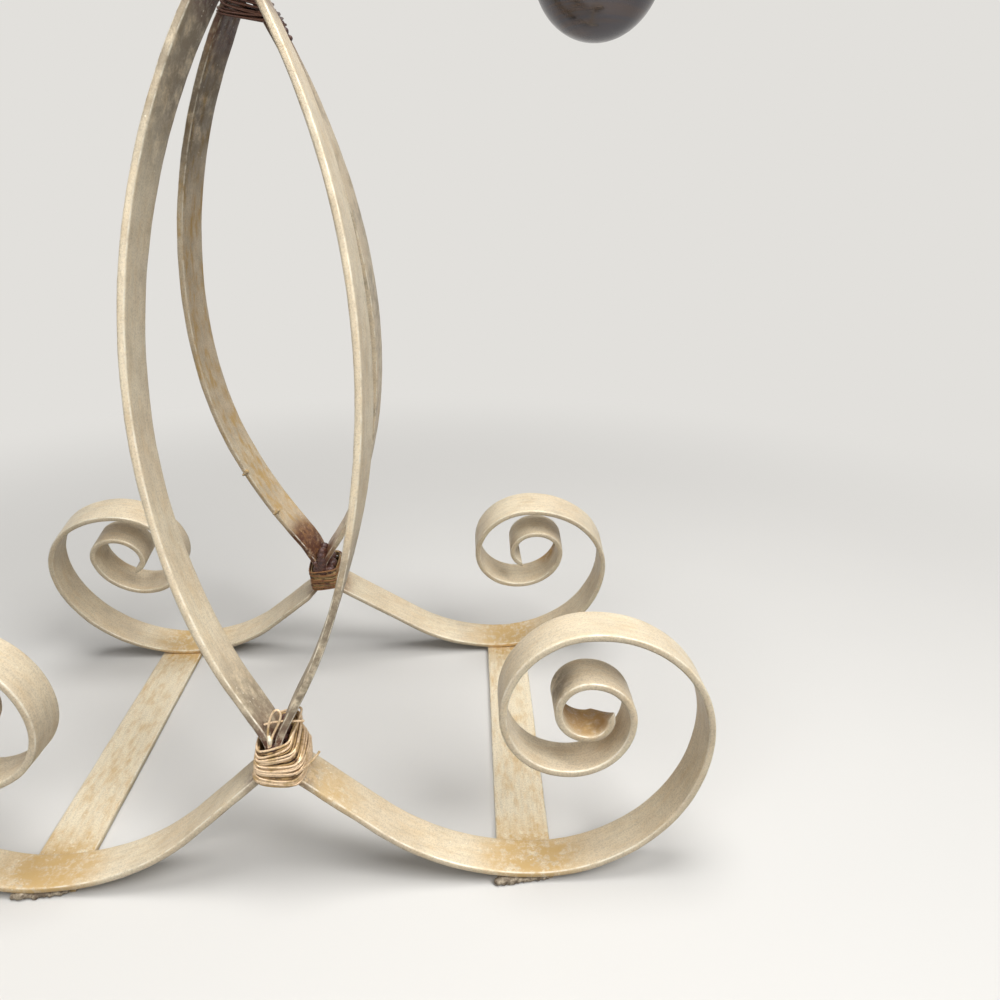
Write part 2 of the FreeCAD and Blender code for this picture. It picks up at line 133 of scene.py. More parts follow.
class CandelabraSizes(bpy.types.PropertyGroup):
    """Sizes of the bars, wire and cups, and of the marks that the work has left on them.

    A row of two is for the front and the rear frame, unless its own text says otherwise. A row of four is
    for the front left, front right, rear left and rear right bar. A scroll's row goes quarter by quarter.
    """

    bar_width: length("Bar width", "Flat bar of feet, uprights and arms", 19)
    bar_thickness: length("Bar thickness", "Thickness of all flat bar", 3.2)
    edge_round: length("Edge rounding", "Hammered rounding along the bar's edges", 0.95)
    ring_spacing: length("Ring spacing", "Distance between rings of vertices along a bar", 2)
    hammer_depth: length("Hammer marks", "Depth of the broad dents of the hammer", 0.34)
    scale_depth: length("Forge scale", "Depth of the fine unevenness left by the fire", 0.1)
    strap_width: length("Strap width", "Cross straps and top strap", 25)
    strap_set_back: length("Strap set-back", "Strap end behind the outer edge of a foot", 3)
    left_strap_toe: length("Left strap toe", "How far the left strap swings out towards the rear", 6.5)
    weld_set_backs: lengths("Weld set-backs", "Middle of a weld behind the outer edge of a foot", 0.9, 2.2)
    weld_height: length("Weld height", "Height of the middle of a weld", 1.8)
    frame_spacing: length("Frame spacing", "Front to rear distance of the frames at the feet", 188)
    neck_spacing: length("Neck spacing", "Front to rear distance of the frames at the necks", 44)
    waists: lengths("Waists", "Height of the lower end of the uprights", 71.5, 70)
    leans: angles("Leans", "Inward lean of the feet", 0, 15)
    offsets: lengths("Offsets", "Sideways set of a frame at its waist", 0, -11.5)
    neck_offsets: lengths("Neck offsets", "Sideways set of a frame at its neck", -3.3, -10.3)
    neck_height: length("Neck height", "Height at which the uprights run parallel", 370)
    neck_length: length("Neck length", "Parallel run above the neck height", 11)
    neck_radius: length("Neck radius", "Bend from the bow into the neck", 12)
    bows: lengths("Bows", "Widest offset of an upright", 46.9, 41.4, 48, 42.8)
    twists: lengths("Twists", "Sideways set of an upright's far edge by its twist", 0, 2.1, 3.8, 0.9)
    low_twists: lengths("Low twists", "The same for an upright's lowest part", 1.6, -2, 3.8, 0)
    draw_ins: lengths("Draw-ins", "How far an upright is drawn in above the waist", 2.8, 2.8, 5.6, 4.2)
    draw_in_peaks: lengths("Draw-in peaks", "How far up an upright is drawn in most", 12, 12, 24, 12)
    reaches: lengths("Foot reaches", "Lowest point of a foot from the waist", 108.9, 108.9, 97, 108.8)
    slopes: angles("Foot slopes", "Slope of a foot at the waist", 42.3, 42.3, 41.5, 37.5)
    laps: lengths("Foot laps", "How far a foot is set below the waist", 0, 0, 6.5, 2)
    notch: lengths("Notch", "Depth and run of the cut where the rear left foot starts", 6, 15)
    front_coil: lengths(
        "Front scroll", "Outer radius of the front scrolls",
        71.5, 51.5, 37.8, 30.4, 25.9, 20.1, 13.8, 14.8, 10,
    )
    rear_coil: lengths(
        "Rear scroll", "Outer radius of the rear scrolls",
        66.5, 48, 32.9, 27, 26.4, 16.9, 15.2, 12,
    )
    tip_angles: angles("Scroll tips", "Turn of a scroll's last step", 109, 66)
    tip_slants: lengths("Tip slants", "How far a scroll's tip is cut back along its far edge", 11.6, 2)
    wire_diameter: length("Wire diameter", "Binding wire", 1.0)
    top_bend: length("Top strap bend", "Bend radius of the top strap", 4)
    arm_flat: length("Arm flat", "Run of an arm along the top strap", 14)
    arm_tail: length("Arm tail", "Level run of an arm at its ring", 8)
    arm_bend: length("Arm bend", "Bend radius at either end of an arm's arch", 25)
    arm_angle: angle("Arm slope", "Steepest slope of an arm", 50)
    fit_gap: length("Fit gap", "Clearance between worked surfaces", 0.3)
    ring_wall: length("Ring wall", "Thickness of a cup ring", 2.4)
    ring_round: length("Ring rounding", "Rounding along a cup ring's edges", 0.8)
    cup_wall: length("Cup wall", "Sheet of a cup", 1.2)
    cup_rim: length("Cup rim", "Width of the rim that rests on the ring", 2.8)
    cup_round: length("Cup rounding", "Rounding along a cup's rim", 0.5)


class CandelabraFinish(bpy.types.PropertyGroup):
    """Colours of the aged iron, the binding wire, the cups and the floor."""

    iron_mid: colour("Iron", "Dry tan-grey skin of the iron", 232, 212, 181)
    iron_grey: colour("Grey iron", "Duller grey-brown stretches", 178, 164, 142)
    # Dark iron: streaks and pores of the skin, and the painted shade at the upright tops, the low front right
    # upright and the scroll coils.
    iron_dark_and_shade: colour("Dark iron", "Deeper streaks and pores of the skin, and painted shade", 112, 98, 81)
    # Pale iron: rubbed and dusty patches, the painted light that makes the straps paler, and the painted
    # glints on the melted scale.
    iron_pale: colour("Rubbed iron", "Rubbed and dusty patches; painted light on the straps and painted glints on melted scale", 248, 234, 205)
    # Bright metal of worn edges and scratches, and also the painted highlight along the edges.
    worn_edge_and_highlight: colour("Worn edge and highlight", "Bright metal and painted highlight along the edges", 252, 244, 224)
    ochre: colour("Ochre rust", "Thin yellow rust", 214, 180, 124)
    brown_rust: colour("Brown rust", "Rust beside the bindings", 152, 106, 64)
    red_rust: colour("Red rust", "Deep rust at the joints", 98, 64, 50)
    scale_purple: colour("Melted scale", "Dark purple-brown lumps in the windings", 88, 62, 60)
    wire_gold: colour("Wire", "Rubbed tan-gold binding wire", 240, 212, 176)
    wire_olive: colour("Olive wire", "Duller stretches of the wire", 198, 166, 116)
    # Dark wire: dirt specks on all wire, and the painted shade of the inner turns.
    wire_dirt_and_shade: colour("Dark wire", "Painted shade of the inner turns and between the turns, and dirt specks", 104, 78, 54)
    # Near-white colour of the drop at the foot of the front wire's loop.
    near_white_drop: colour("Near-white drop", "Near-white drop at the foot of the wire's loop", 250, 240, 214)
    bronze: colour("Bronze", "Dark polished bronze of the cups", 92, 90, 94)
    bronze_warm: colour("Warm bronze", "Brown rubs on the bronze", 112, 98, 92)
    floor: colour("Floor", "Plain pale floor", 226, 224, 220)


def sizes():
    return bpy.context.scene.candelabra_sizes


def colours():
    return bpy.context.scene.candelabra_finish


def deselect_all():
    if bpy.context.mode != "OBJECT":
        bpy.ops.object.mode_set(mode="OBJECT")
    bpy.ops.object.select_all(action="DESELECT")


def make_active(obj):
    deselect_all()
    obj.select_set(True)
    bpy.context.view_layer.objects.active = obj


def edit_all(obj, mode):
    """Opens a piece in edit mode with all of it selected."""
    make_active(obj)
    bpy.ops.object.mode_set(mode="EDIT")
    bpy.ops.mesh.select_mode(type=mode)
    bpy.ops.mesh.select_all(action="SELECT")


def settle():
    """Applies the place, turn and scale of the active piece to its mesh."""
    bpy.ops.object.transform_apply(location=True, rotation=True, scale=True)


def outward_faces(obj):
    edit_all(obj, "VERT")
    bpy.ops.mesh.remove_doubles(threshold=0.01 * MM)
    bpy.ops.mesh.normals_make_consistent(inside=False)
    bpy.ops.object.mode_set(mode="OBJECT")


def apply_modifier(obj, kind, **settings):
    make_active(obj)
    modifier = obj.modifiers.new(kind.title(), kind)
    for key, value in settings.items():
        setattr(modifier, key, value)
    bpy.ops.object.modifier_apply(modifier=modifier.name)


def round_edges(obj, width, degrees):
    limit = math.radians(degrees)
    apply_modifier(obj, "BEVEL", width=width, segments=3, limit_method="ANGLE", angle_limit=limit)


def dent(obj, depth, kind):
    """Dents a piece along its normals by a cloud texture, which is made once for each kind."""
    texture = bpy.data.textures.get(kind)
    if texture is None:
        texture = bpy.data.textures.new(kind, "CLOUDS")
        width, detail = DENTS[kind]
        texture.noise_scale = width * MM
        texture.noise_depth = detail
    apply_modifier(
        obj,
        "DISPLACE",
        texture=texture,
        strength=depth,
        mid_level=0.5,
        direction="NORMAL",
        texture_coords="LOCAL",
    )


def smooth(obj, degrees):
    make_active(obj)
    bpy.ops.object.shade_smooth_by_angle(angle=math.radians(degrees))


def dress(obj, material, body, slot, *nodes):
    """Gives a piece its material and its body, and hides the nodes that it stands for. The slot is not used.
    """
    obj.data.materials.clear()
    obj.data.materials.append(material)
    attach(obj, body)
    if nodes:
        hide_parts(*nodes)


def forge(obj, material, node):
    """Hammers a drawn bar and dresses it in place of its node."""
    dent(obj, sizes().hammer_depth, "hammer marks")
    dent(obj, sizes().scale_depth, "forge scale")
    smooth(obj, 50)
    dress(obj, material, "stand", "aged_iron", node)


def mixed(pair, share):
    return pair[0] + (pair[1] - pair[0]) * share


def smooth_step(share):
    held = min(1, max(0, share))
    return held * held * (3 - 2 * held)


def node_box(node):
    """Lowest corner, highest corner and middle of a node of the frame."""
    low, high = (Vector(corner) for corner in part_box(node))
    return low, high, (low + high) / 2


class Lens:
    """One frame of two bowed uprights on a pair of feet: its planes, its waist and its neck."""

    def __init__(self, name):
        s = sizes()
        rank = 0 if name == "front" else 1
        lean = s.leans[rank]
        height = s.waists[rank]
        self.name = name
        self.facing = -1 if name == "front" else 1
        self.strap_level = (s.bar_thickness + s.bar_width / 2 * math.sin(lean) - height) / math.cos(lean)
        depth = s.frame_spacing / 2 + self.strap_level * math.sin(lean)
        self.waist = Vector((s.offsets[rank], self.facing * depth, height))
        self.neck = Vector((s.neck_offsets[rank], self.facing * s.neck_spacing / 2, s.neck_height))
        self.foot_up = Vector((0, -self.facing * math.sin(lean), math.cos(lean)))
        self.foot_normal = Vector((0, math.cos(lean), self.facing * math.sin(lean)))
        self.up = (self.neck - self.waist).normalized()
        self.rise = (self.neck - self.waist).length
        self.across = (Vector((1, 0, 0)) - self.up * self.up.x).normalized()
        self.normal = self.up.cross(self.across)
        self.rising = self.up.dot(self.foot_up)
        self.leaning = self.up.dot(self.foot_normal)
        self.coil = list(s.rear_coil if rank else s.front_coil)
        self.tip = s.tip_angles[rank]
        self.tip_slant = s.tip_slants[rank]
        for row in ("bows", "twists", "low_twists", "draw_ins", "draw_in_peaks", "reaches", "slopes", "laps"):
            left, right = getattr(s, row)[2 * rank:2 * rank + 2]
            setattr(self, row, {-1: left, 1: right})

    def bow(self, hand):
        """Radius and middle height of an upright's long arc."""
        s = sizes()
        bow = self.bows[hand] - s.bar_thickness / 2
        middle = self.rise / 2 - s.neck_radius * bow / self.rise
        return (bow * bow + middle * middle) / (2 * bow), middle

    def foot_peak(self, hand):
        """Upper corner of a foot where it meets the uprights, from the waist in the plane of the feet."""
        s = sizes()
        steepest = min(middle / radius for radius, middle in (self.bow(-1), self.bow(1)))
        seat = s.bar_thickness / 2 * steepest * self.rising
        return seat - s.bar_width / 2 * abs(self.leaning) - s.fit_gap - self.laps[hand]

    def at_waist(self, point):
        """Place in space of a point across, behind and above the waist; above it the bars lean over."""
        behind = point.y + max(point.z, 0) * self.leaning / self.rising
        return self.waist + Vector((point.x, 0, 0)) + self.foot_normal * behind + self.foot_up * point.z

    def along_uprights(self, base, point):
        return base + self.across * point.x + self.normal * point.y + self.up * point.z

    def in_frame(self, point):
        """Place of a point across, behind and up the plane of the uprights, from the waist."""
        return self.along_uprights(self.waist, point)

    def at_neck(self, point):
        """The same from the neck."""
        return self.along_uprights(self.neck, point)


def frames():
    return Lens("front"), Lens("rear")


def frame_bars():
    """Each frame with each of its sides."""
    for lens in frames():
        for side, hand in SIDES:
            yield lens, side, hand


def rounded_section(name, width, thickness):
    """Bar section: a plane with hammered corners and a few cuts across its width."""
    deselect_all()
    bpy.ops.mesh.primitive_plane_add(size=1)
    obj = bpy.context.object
    obj.name = name
    obj.data.name = name
    obj.scale = (width, thickness, 1)
    bpy.ops.object.transform_apply(location=False, rotation=False, scale=True)
    edit_all(obj, "VERT")
    bpy.ops.mesh.bevel(offset=sizes().edge_round, segments=3, affect="VERTICES")
    bpy.ops.mesh.select_mode(type="EDGE")
    bpy.ops.mesh.select_all(action="DESELECT")
    bpy.ops.object.mode_set(mode="OBJECT")
    points = obj.data.vertices
    for edge in obj.data.edges:
        start, end = (points[index].co for index in edge.vertices)
        edge.select = (end - start).length > width / 2
    bpy.ops.object.mode_set(mode="EDIT")
    bpy.ops.mesh.subdivide(number_cuts=7)
    bpy.ops.object.mode_set(mode="OBJECT")
    return obj


class Bar:
    """Flat bar drawn out from one section: straight runs are extruded and bends are spun."""

    def __init__(self, name, width, origin, outward, up, start, heading):
        self.origin = origin
        self.outward = outward
        self.up = up
        self.axis = outward.cross(up)
        self.place = Vector(start)
        self.heading = heading
        self.width = width
        self.obj = rounded_section(name, width, sizes().bar_thickness)
        self.section_size = len(self.obj.data.vertices)
        self.start_direction = self.flat_to_space(self.direction())
        turn = Matrix((-self.axis, self.flat_to_space(self.left()), self.start_direction)).transposed()
        self.obj.matrix_world = Matrix.Translation(self.in_space(self.place)) @ turn.to_4x4()
        make_active(self.obj)
        settle()
        edit_all(self.obj, "FACE")

    def direction(self):
        return Vector((math.cos(self.heading), math.sin(self.heading)))

    def left(self):
        return Vector((-math.sin(self.heading), math.cos(self.heading)))

    def flat_to_space(self, flat):
        return self.outward * flat.x + self.up * flat.y

    def in_space(self, place):
        return self.origin + self.flat_to_space(place)

    def run(self, distance):
        steps = max(1, round(distance / sizes().ring_spacing))
        step = self.flat_to_space(self.direction()) * (distance / steps)
        for _ in range(steps):
            bpy.ops.mesh.extrude_region_move(TRANSFORM_OT_translate={"value": step})
        self.place += self.direction() * distance

    def bend(self, radius, turn):
        """Turns to the left for a positive angle, to the right for a negative one."""
        side = 1 if turn > 0 else -1
        centre = self.place + self.left() * (side * radius)
        steps = max(3, round(radius * abs(turn) / sizes().ring_spacing))
        bpy.ops.mesh.spin(steps=steps, angle=-turn, center=self.in_space(centre), axis=self.axis)
        self.heading += turn
        self.place = centre - self.left() * (side * radius)

    def drawn(self):
        """Ends the drawing out and marks the surface, before the bar is worked further."""
        bpy.ops.object.mode_set(mode="OBJECT")
        self.mark_surface()

    def done(self):
        if "grain" not in self.obj.data.attributes:
            self.drawn()
        outward_faces(self.obj)
        return self.obj

    def sections(self):
        """Vertices, middle, distance from the start and direction of each section along the bar."""
        points = self.obj.data.vertices
        size = self.section_size
        rings = [points[first:first + size] for first in range(0, len(points), size)]
        centres = [sum((vertex.co for vertex in ring), Vector()) / size for ring in rings]
        last = len(rings) - 1
        distances = [0]
        tangents = []
        for index, centre in enumerate(centres):
            before, after = centres[max(index - 1, 0)], centres[min(index + 1, last)]
            tangents.append((after - before).normalized())
            if index < last:
                distances.append(distances[-1] + (after - centre).length)
        return list(zip(rings, centres, distances, tangents))

    def mark_surface(self):
        """Keeps for the finish where a point lies along and across the bar, and whether on a corner."""
        marks = self.obj.data.attributes
        marks.new("grain", "FLOAT_VECTOR", "POINT")
        marks.new("edge", "FLOAT", "POINT")
        grain, edge = marks["grain"], marks["edge"]
        rounding = 0.9 * sizes().edge_round
        for ring, centre, along, tangent in self.sections():
            through = tangent.cross(self.axis)
            for vertex in ring:
                across = (vertex.co - centre).dot(self.axis)
                depth = (vertex.co - centre).dot(through)
                grain.data[vertex.index].vector = (along, across, depth)
                from_side = self.width / 2 - abs(across)
                from_face = sizes().bar_thickness / 2 - abs(depth)
                on_corner = from_side < rounding and from_face < rounding
                edge.data[vertex.index].value = 1 if on_corner else 0

    def mitre_start(self, x):
        """Slides the first section along the bar until it lies on an upright plane."""
        bpy.ops.object.mode_set(mode="OBJECT")
        for vertex in self.sections()[0][0]:
            slide = (x - vertex.co.x) / self.start_direction.x
            vertex.co += self.start_direction * slide
        bpy.ops.object.mode_set(mode="EDIT")

    def twist(self, low, high):
        """Turns the sections about the bar's line: the lower stretch one way, the upper another.

        The shares are of the bar's length. The twist grows fast from the waist and fades before the neck.
        """
        change_from, change_over = 0.15, 0.25
        start_share, growth, fading = 0.3, 14, 9
        sections = self.sections()
        whole = sections[-1][2]
        for ring, centre, along, tangent in sections:
            share = along / whole
            blend = smooth_step((share - change_from) / change_over)
            held = min(1, start_share + growth * share, fading * (1 - share))
            spin = Matrix.Rotation(-mixed((low, high), blend) * held / self.width, 3, tangent)
            shift = Vector((low / 2 * (1 - blend) * min(1, growth * share), 0, 0))
            for vertex in ring:
                vertex.co = centre + shift + spin @ (vertex.co - centre)

    def draw_in(self, depth, peak):
        """Bends the lower stretch towards the middle line, most at the peak height."""
        for ring, _, along, _ in self.sections():
            pull = depth * (along / peak) * math.exp(1 - along / peak)
            for vertex in ring:
                vertex.co -= self.outward * pull

    def slant_tip(self, cut, near_side):
        """Draws the far edge back along the bar, so that the tip is cut at a slant."""
        sections = self.sections()
        last = len(sections) - 1
        whole = sections[-1][2]
        spacing = whole - sections[-2][2]
        fade = 3 * cut
        lines = [[ring[place].co.copy() for ring, *_ in sections] for place in range(self.section_size)]
        for index, (ring, centre, along, _) in enumerate(sections):
            pull = max(0, 1 - (whole - along) / fade)
            for vertex, line in zip(ring, lines):
                across = (line[index] - centre).dot(self.axis)
                back = cut * pull * (0.5 + near_side * across / self.width) / spacing
                step, part = divmod(max(0, index - back), 1)
                before, after = line[int(step)], line[min(int(step) + 1, last)]
                vertex.co = before.lerp(after, part)

    def notch_start(self, cut, run, near_side):
        """Cuts one edge back at a slant over the first stretch of the bar."""
        slant = 1.4
        far_edge = self.axis * (near_side * self.width / 2)
        for ring, centre, along, _ in self.sections():
            depth = cut * min(1, max(0, slant * (1 - along / run)))
            for vertex in ring:
                across = (centre + far_edge - vertex.co).dot(self.axis)
                vertex.co += self.axis * (across * depth / self.width)


class PatinaTools:
    """Small helpers that lay out shader nodes from left to right."""

    def __init__(self, tree):
        self.tree = tree
        self.count = 0

    def node(self, kind, inputs=None, **settings):
        made = self.tree.nodes.new(kind)
        self.count += 1
        made.location = (180 * (self.count % 12), -220 * (self.count // 12))
        for key, value in settings.items():
            setattr(made, key, value)
        for label, value in (inputs or {}).items():
            self.fill(made.inputs[label], value)
        return made

    def fill(self, socket, value):
        """Links a socket to another, or sets it to a number, a place or a colour."""
        if isinstance(value, bpy.types.NodeSocket):
            self.tree.links.new(value, socket)
        else:
            socket.default_value = (*value, 1) if socket.type == "RGBA" else value

    def group(self, name, **inputs):
        """Places one of the shared effects and gives its outputs by name."""
        return self.node("ShaderNodeGroup", inputs, node_tree=shared_effect(name)).outputs

    def math(self, operation, *values, clamp=False):
        made = self.node("ShaderNodeMath", dict(enumerate(values)), operation=operation, use_clamp=clamp)
        return made.outputs[0]

    def times(self, first, second):
        return self.math("MULTIPLY", first, second)

    def plus(self, first, second, clamp=False):
        return self.math("ADD", first, second, clamp=clamp)

    def scaled(self, value, factor, offset, clamp=False):
        return self.math("MULTIPLY_ADD", value, factor, offset, clamp=clamp)

    def most(self, first, *others):
        """Largest of some masks."""
        for other in others:
            first = self.math("MAXIMUM", first, other)
        return first

    def ramp(self, value, low, high):
        inputs = {"Value": value, "From Min": low, "From Max": high}
        return self.node("ShaderNodeMapRange", inputs, interpolation_type="SMOOTHSTEP").outputs["Result"]

    def noise(self, vector, scale, detail, roughness=0.55, stretch=None):
        if stretch:
            vector = self.node("ShaderNodeMapping", {"Scale": stretch, "Vector": vector}).outputs[0]
        inputs = {"Vector": vector, "Scale": scale, "Detail": detail, "Roughness": roughness}
        return self.node("ShaderNodeTexNoise", inputs).outputs["Fac"]

    def patches(self, vector, scale, detail, roughness, low, high, stretch=None):
        """Soft patches: noise that is cut off below one level and full above another."""
        return self.ramp(self.noise(vector, scale, detail, roughness, stretch), low, high)

    def mix(self, factor, first, second):
        return self.node("ShaderNodeMix", {0: factor, 6: first, 7: second}, data_type="RGBA").outputs[2]

    def tint(self, base, mask, share, colour):
        """Lays a share of a colour over the base where the mask is."""
        return self.mix(self.times(mask, share), base, colour)

    def surface(self, shader, base, rough, metal, height, strength, depth):
        """Feeds a shader its colour, roughness, share of metal and fine relief."""
        bump = self.node("ShaderNodeBump", {"Strength": strength, "Distance": depth, "Height": height})
        parts = {"Base Color": base, "Roughness": rough, "Metallic": metal, "Normal": bump.outputs["Normal"]}
        for label, value in parts.items():
            self.fill(shader.inputs[label], value)


def aged_skin(tools, vector):
    """Broad blotches, smaller patches, fine speckle and grain of a skin that has aged."""
    return (
        tools.patches(vector, 32, 3, 0.55, 0.36, 0.66),
        tools.patches(vector, 150, 5, 0.65, 0.38, 0.68),
        tools.patches(vector, 1300, 3, 0.7, 0.42, 0.68),
        tools.noise(vector, 1500, 3, 0.7),
    )


def drawn_streaks(tools, vector):
    """Lengthwise streaks of the rolling and drawing, along the grain of a bar."""
    return (
        tools.patches(vector, 1, 4, 0.6, 0.4, 0.7, stretch=(55, 620, 620)),
        tools.patches(vector, 1, 2, 0.5, 0.6, 0.72, stretch=(26, 1700, 1700)),
    )


def near_joints(tools, vector):
    """How near a point is to each spot of rust, of painted shade and of darkening, from 0 to 1."""
    s = sizes()
    bases = {"floor": Vector(), "strap end": Vector((STRAP_END_OUT, s.frame_spacing / 2, s.bar_thickness))}
    for lens in frames():
        bases[lens.name + " waist"] = lens.waist
        bases[lens.name + " neck"] = lens.at_neck(Vector((0, 0, -RUST_BELOW_NECK)))
    folded = tools.node("ShaderNodeVectorMath", {0: vector}, operation="ABSOLUTE").outputs[0]
    masks = []
    for label, (base, way, full, reach) in JOINT_SPOTS.items():
        ends = {0: folded if label in MIRRORED_SPOTS else vector, 1: bases[base] + Vector(way) * MM}
        distance = tools.node("ShaderNodeVectorMath", ends, operation="DISTANCE").outputs["Value"]
        masks.append(tools.ramp(distance, reach * MM, full * MM))
    return masks


def edge_wear_and_highlight(tools, vector, edge):
    """Bright rubbing along the edges of a bar, with a painted highlight on them, broken up where the skin has
    held.
    """
    return (tools.times(tools.ramp(edge, 0.72, 1.0), tools.patches(vector, 190, 4, 0.6, 0.36, 0.62)),)


def pale_flecks(tools, vector):
    """Small pale specks scattered over the skin."""
    cells = tools.node("ShaderNodeTexVoronoi", {"Vector": vector, "Scale": 330})
    spot = tools.ramp(cells.outputs["Distance"], 0.16, 0.07)
    return (tools.times(spot, tools.patches(vector, 70, 2, 0.55, 0.5, 0.62)),)


# Inputs, outputs and maker of each shader group that the materials share.
EFFECTS = {
    "Aged skin": (("Vector",), ("Blotches", "Patches", "Speckle", "Grain"), aged_skin),
    "Drawn streaks": (("Vector",), ("Streaks", "Scratches"), drawn_streaks),
    "Near the joints": (("Vector",), tuple(JOINT_SPOTS), near_joints),
    "Edge wear": (("Vector", "Edge"), ("Wear",), edge_wear_and_highlight),
    "Pale flecks": (("Vector",), ("Flecks",), pale_flecks),
}


def shared_effect(name):
    """Shader group with named sockets, made the first time that it is asked for."""
    tree = bpy.data.node_groups.get(name)
    if tree:
        return tree
    inputs, outputs, make = EFFECTS[name]
    tree = bpy.data.node_groups.new(name, "ShaderNodeTree")
    for label in inputs:
        kind = "NodeSocketVector" if label == "Vector" else "NodeSocketFloat"
        tree.interface.new_socket(label, in_out="INPUT", socket_type=kind)
    for label in outputs:
        tree.interface.new_socket(label, in_out="OUTPUT", socket_type="NodeSocketFloat")
    tools = PatinaTools(tree)
    source, target = tools.node("NodeGroupInput"), tools.node("NodeGroupOutput")
    masks = make(tools, *(source.outputs[label] for label in inputs))
    for label, mask in zip(outputs, masks):
        tools.fill(target.inputs[label], mask)
    return tree


def new_material(name):
    material = bpy.data.materials.new(name)
    material.use_nodes = True
    tools = PatinaTools(material.node_tree)
    shader = material.node_tree.nodes["Principled BSDF"]
    shader.location = (2300, 0)
    material.node_tree.nodes["Material Output"].location = (2600, 0)
    vector = tools.node("ShaderNodeTexCoord").outputs["Object"]
    return material, tools, shader, vector


def made_once(make):
    """Lets a material be made only the first time that its name is asked for."""
    def find(name, *tones, **shares):
        return bpy.data.materials.get(name) or make(name, *tones, **shares)

    return find


@made_once
def aged_iron(name, pale_share, grey_share, ochre_share):
    """Dry tan-grey iron with drawn streaks, rust at the joints, painted shade in places and bright edges that
    are partly a painted highlight.
    """
    f = colours()
    material, tools, shader, vector = new_material(name)
    grain = tools.node("ShaderNodeAttribute", attribute_name="grain").outputs["Vector"]
    edge = tools.node("ShaderNodeAttribute", attribute_name="edge").outputs["Fac"]
    skin = tools.group("Aged skin", Vector=vector)
    drawn = tools.group("Drawn streaks", Vector=grain)
    joints = tools.group("Near the joints", Vector=vector)
    wear_and_highlight = tools.group("Edge wear", Vector=vector, Edge=edge)["Wear"]
    flecks = tools.group("Pale flecks", Vector=vector)["Flecks"]

    def near(*labels):
        return tools.most(*(joints[label] for label in labels))

    base = tools.mix(tools.scaled(skin["Blotches"], 0.5, pale_share, clamp=True), f.iron_mid, f.iron_pale)
    base = tools.tint(base, tools.patches(vector, 75, 5, 0.6, 0.42, 0.7), grey_share, f.iron_grey)
    base = tools.tint(base, drawn["Streaks"], 0.12, f.iron_dark_and_shade)
    base = tools.tint(base, skin["Speckle"], 0.26, f.iron_dark_and_shade)
    base = tools.tint(base, drawn["Scratches"], 0.14, f.worn_edge_and_highlight)
    thin_rust = tools.patches(grain, 1, 5, 0.7, 0.44, 0.74, stretch=(75, 230, 230))
    stained = tools.most(joints["Straps"], tools.times(joints["Front stain"], 0.7), joints["Tips"])
    stained = tools.times(stained, tools.patches(vector, 240, 6, 0.75, 0.33, 0.56))
    ochre = tools.plus(tools.times(thin_rust, ochre_share), tools.times(stained, 0.95), clamp=True)
    base = tools.mix(ochre, base, f.ochre)
    spread = tools.most(near("Rear stain", "Rear waist", "Rear neck"), tools.times(joints["Tips"], 0.45))
    spread = tools.times(spread, tools.patches(vector, 190, 5, 0.7, 0.26, 0.52))
    base = tools.tint(base, spread, 0.95, f.brown_rust)
    # Painted shade: the upper left uprights, the low front right upright and the inner scroll coils are
    # tinted darker, and the iron above the front waist is darkened.
    shade_and_darkening = near("Front darkening", "Neck shade", "Low shade", "Coil shade")
    shade_and_darkening = tools.times(shade_and_darkening, tools.patches(vector, 120, 5, 0.7, 0.28, 0.58))
    base = tools.tint(base, shade_and_darkening, 0.85, f.iron_dark_and_shade)
    tight = near("Front waist", "Rear waist", "Rear neck", "Front neck", "Rear stain")
    spots = tools.plus(tools.patches(vector, 280, 5, 0.7, 0.4, 0.62), 0.3, clamp=True)
    deep = tools.times(spots, tools.math("POWER", tight, 1.6))
    base = tools.mix(deep, base, f.red_rust)
    # Bright edges: worn metal, and a painted highlight along the rounded edges.
    base = tools.tint(base, wear_and_highlight, 0.75, f.worn_edge_and_highlight)
    base = tools.tint(base, flecks, 0.65, f.worn_edge_and_highlight)
    rough = tools.plus(tools.scaled(skin["Patches"], 0.16, 0.36), tools.times(ochre, 0.2))
    rough = tools.math("SUBTRACT", rough, tools.times(wear_and_highlight, 0.12), clamp=True)
    metal = tools.math("SUBTRACT", 0.12, tools.times(ochre, 0.12))
    metal = tools.math("SUBTRACT", metal, tools.times(deep, 0.1), clamp=True)
    height = tools.plus(tools.times(drawn["Streaks"], -0.5), skin["Grain"])
    height = tools.plus(height, tools.times(skin["Speckle"], -0.6))
    height = tools.plus(height, tools.times(deep, 0.8))
    shader.inputs["Specular IOR Level"].default_value = 0.35
    tools.surface(shader, base, rough, metal, height, strength=0.32, depth=0.14 * MM)
    return material


@made_once
def bound_wire(name, rubbed, dull, rust_share):
    """Annealed wire: rubbed and dull stretches, dirt in spots, rusty in places."""
    f = colours()
    material, tools, shader, vector = new_material(name)
    skin = tools.group("Aged skin", Vector=vector)
    base = tools.mix(tools.patches(vector, 260, 3, 0.6, 0.46, 0.7), rubbed, dull)
    base = tools.tint(base, skin["Speckle"], 0.22, f.wire_dirt_and_shade)
    spots = tools.patches(vector, 330, 4, 0.65, 0.62 - rust_share * 0.4, 0.72 - rust_share * 0.3)
    base = tools.tint(base, spots, 0.7, f.red_rust)
    rough = tools.scaled(spots, 0.25, 0.38, clamp=True)
    metal = tools.scaled(spots, -0.2, 0.3, clamp=True)
    tools.surface(shader, base, rough, metal, skin["Grain"], strength=0.5, depth=0.12 * MM)
    return material


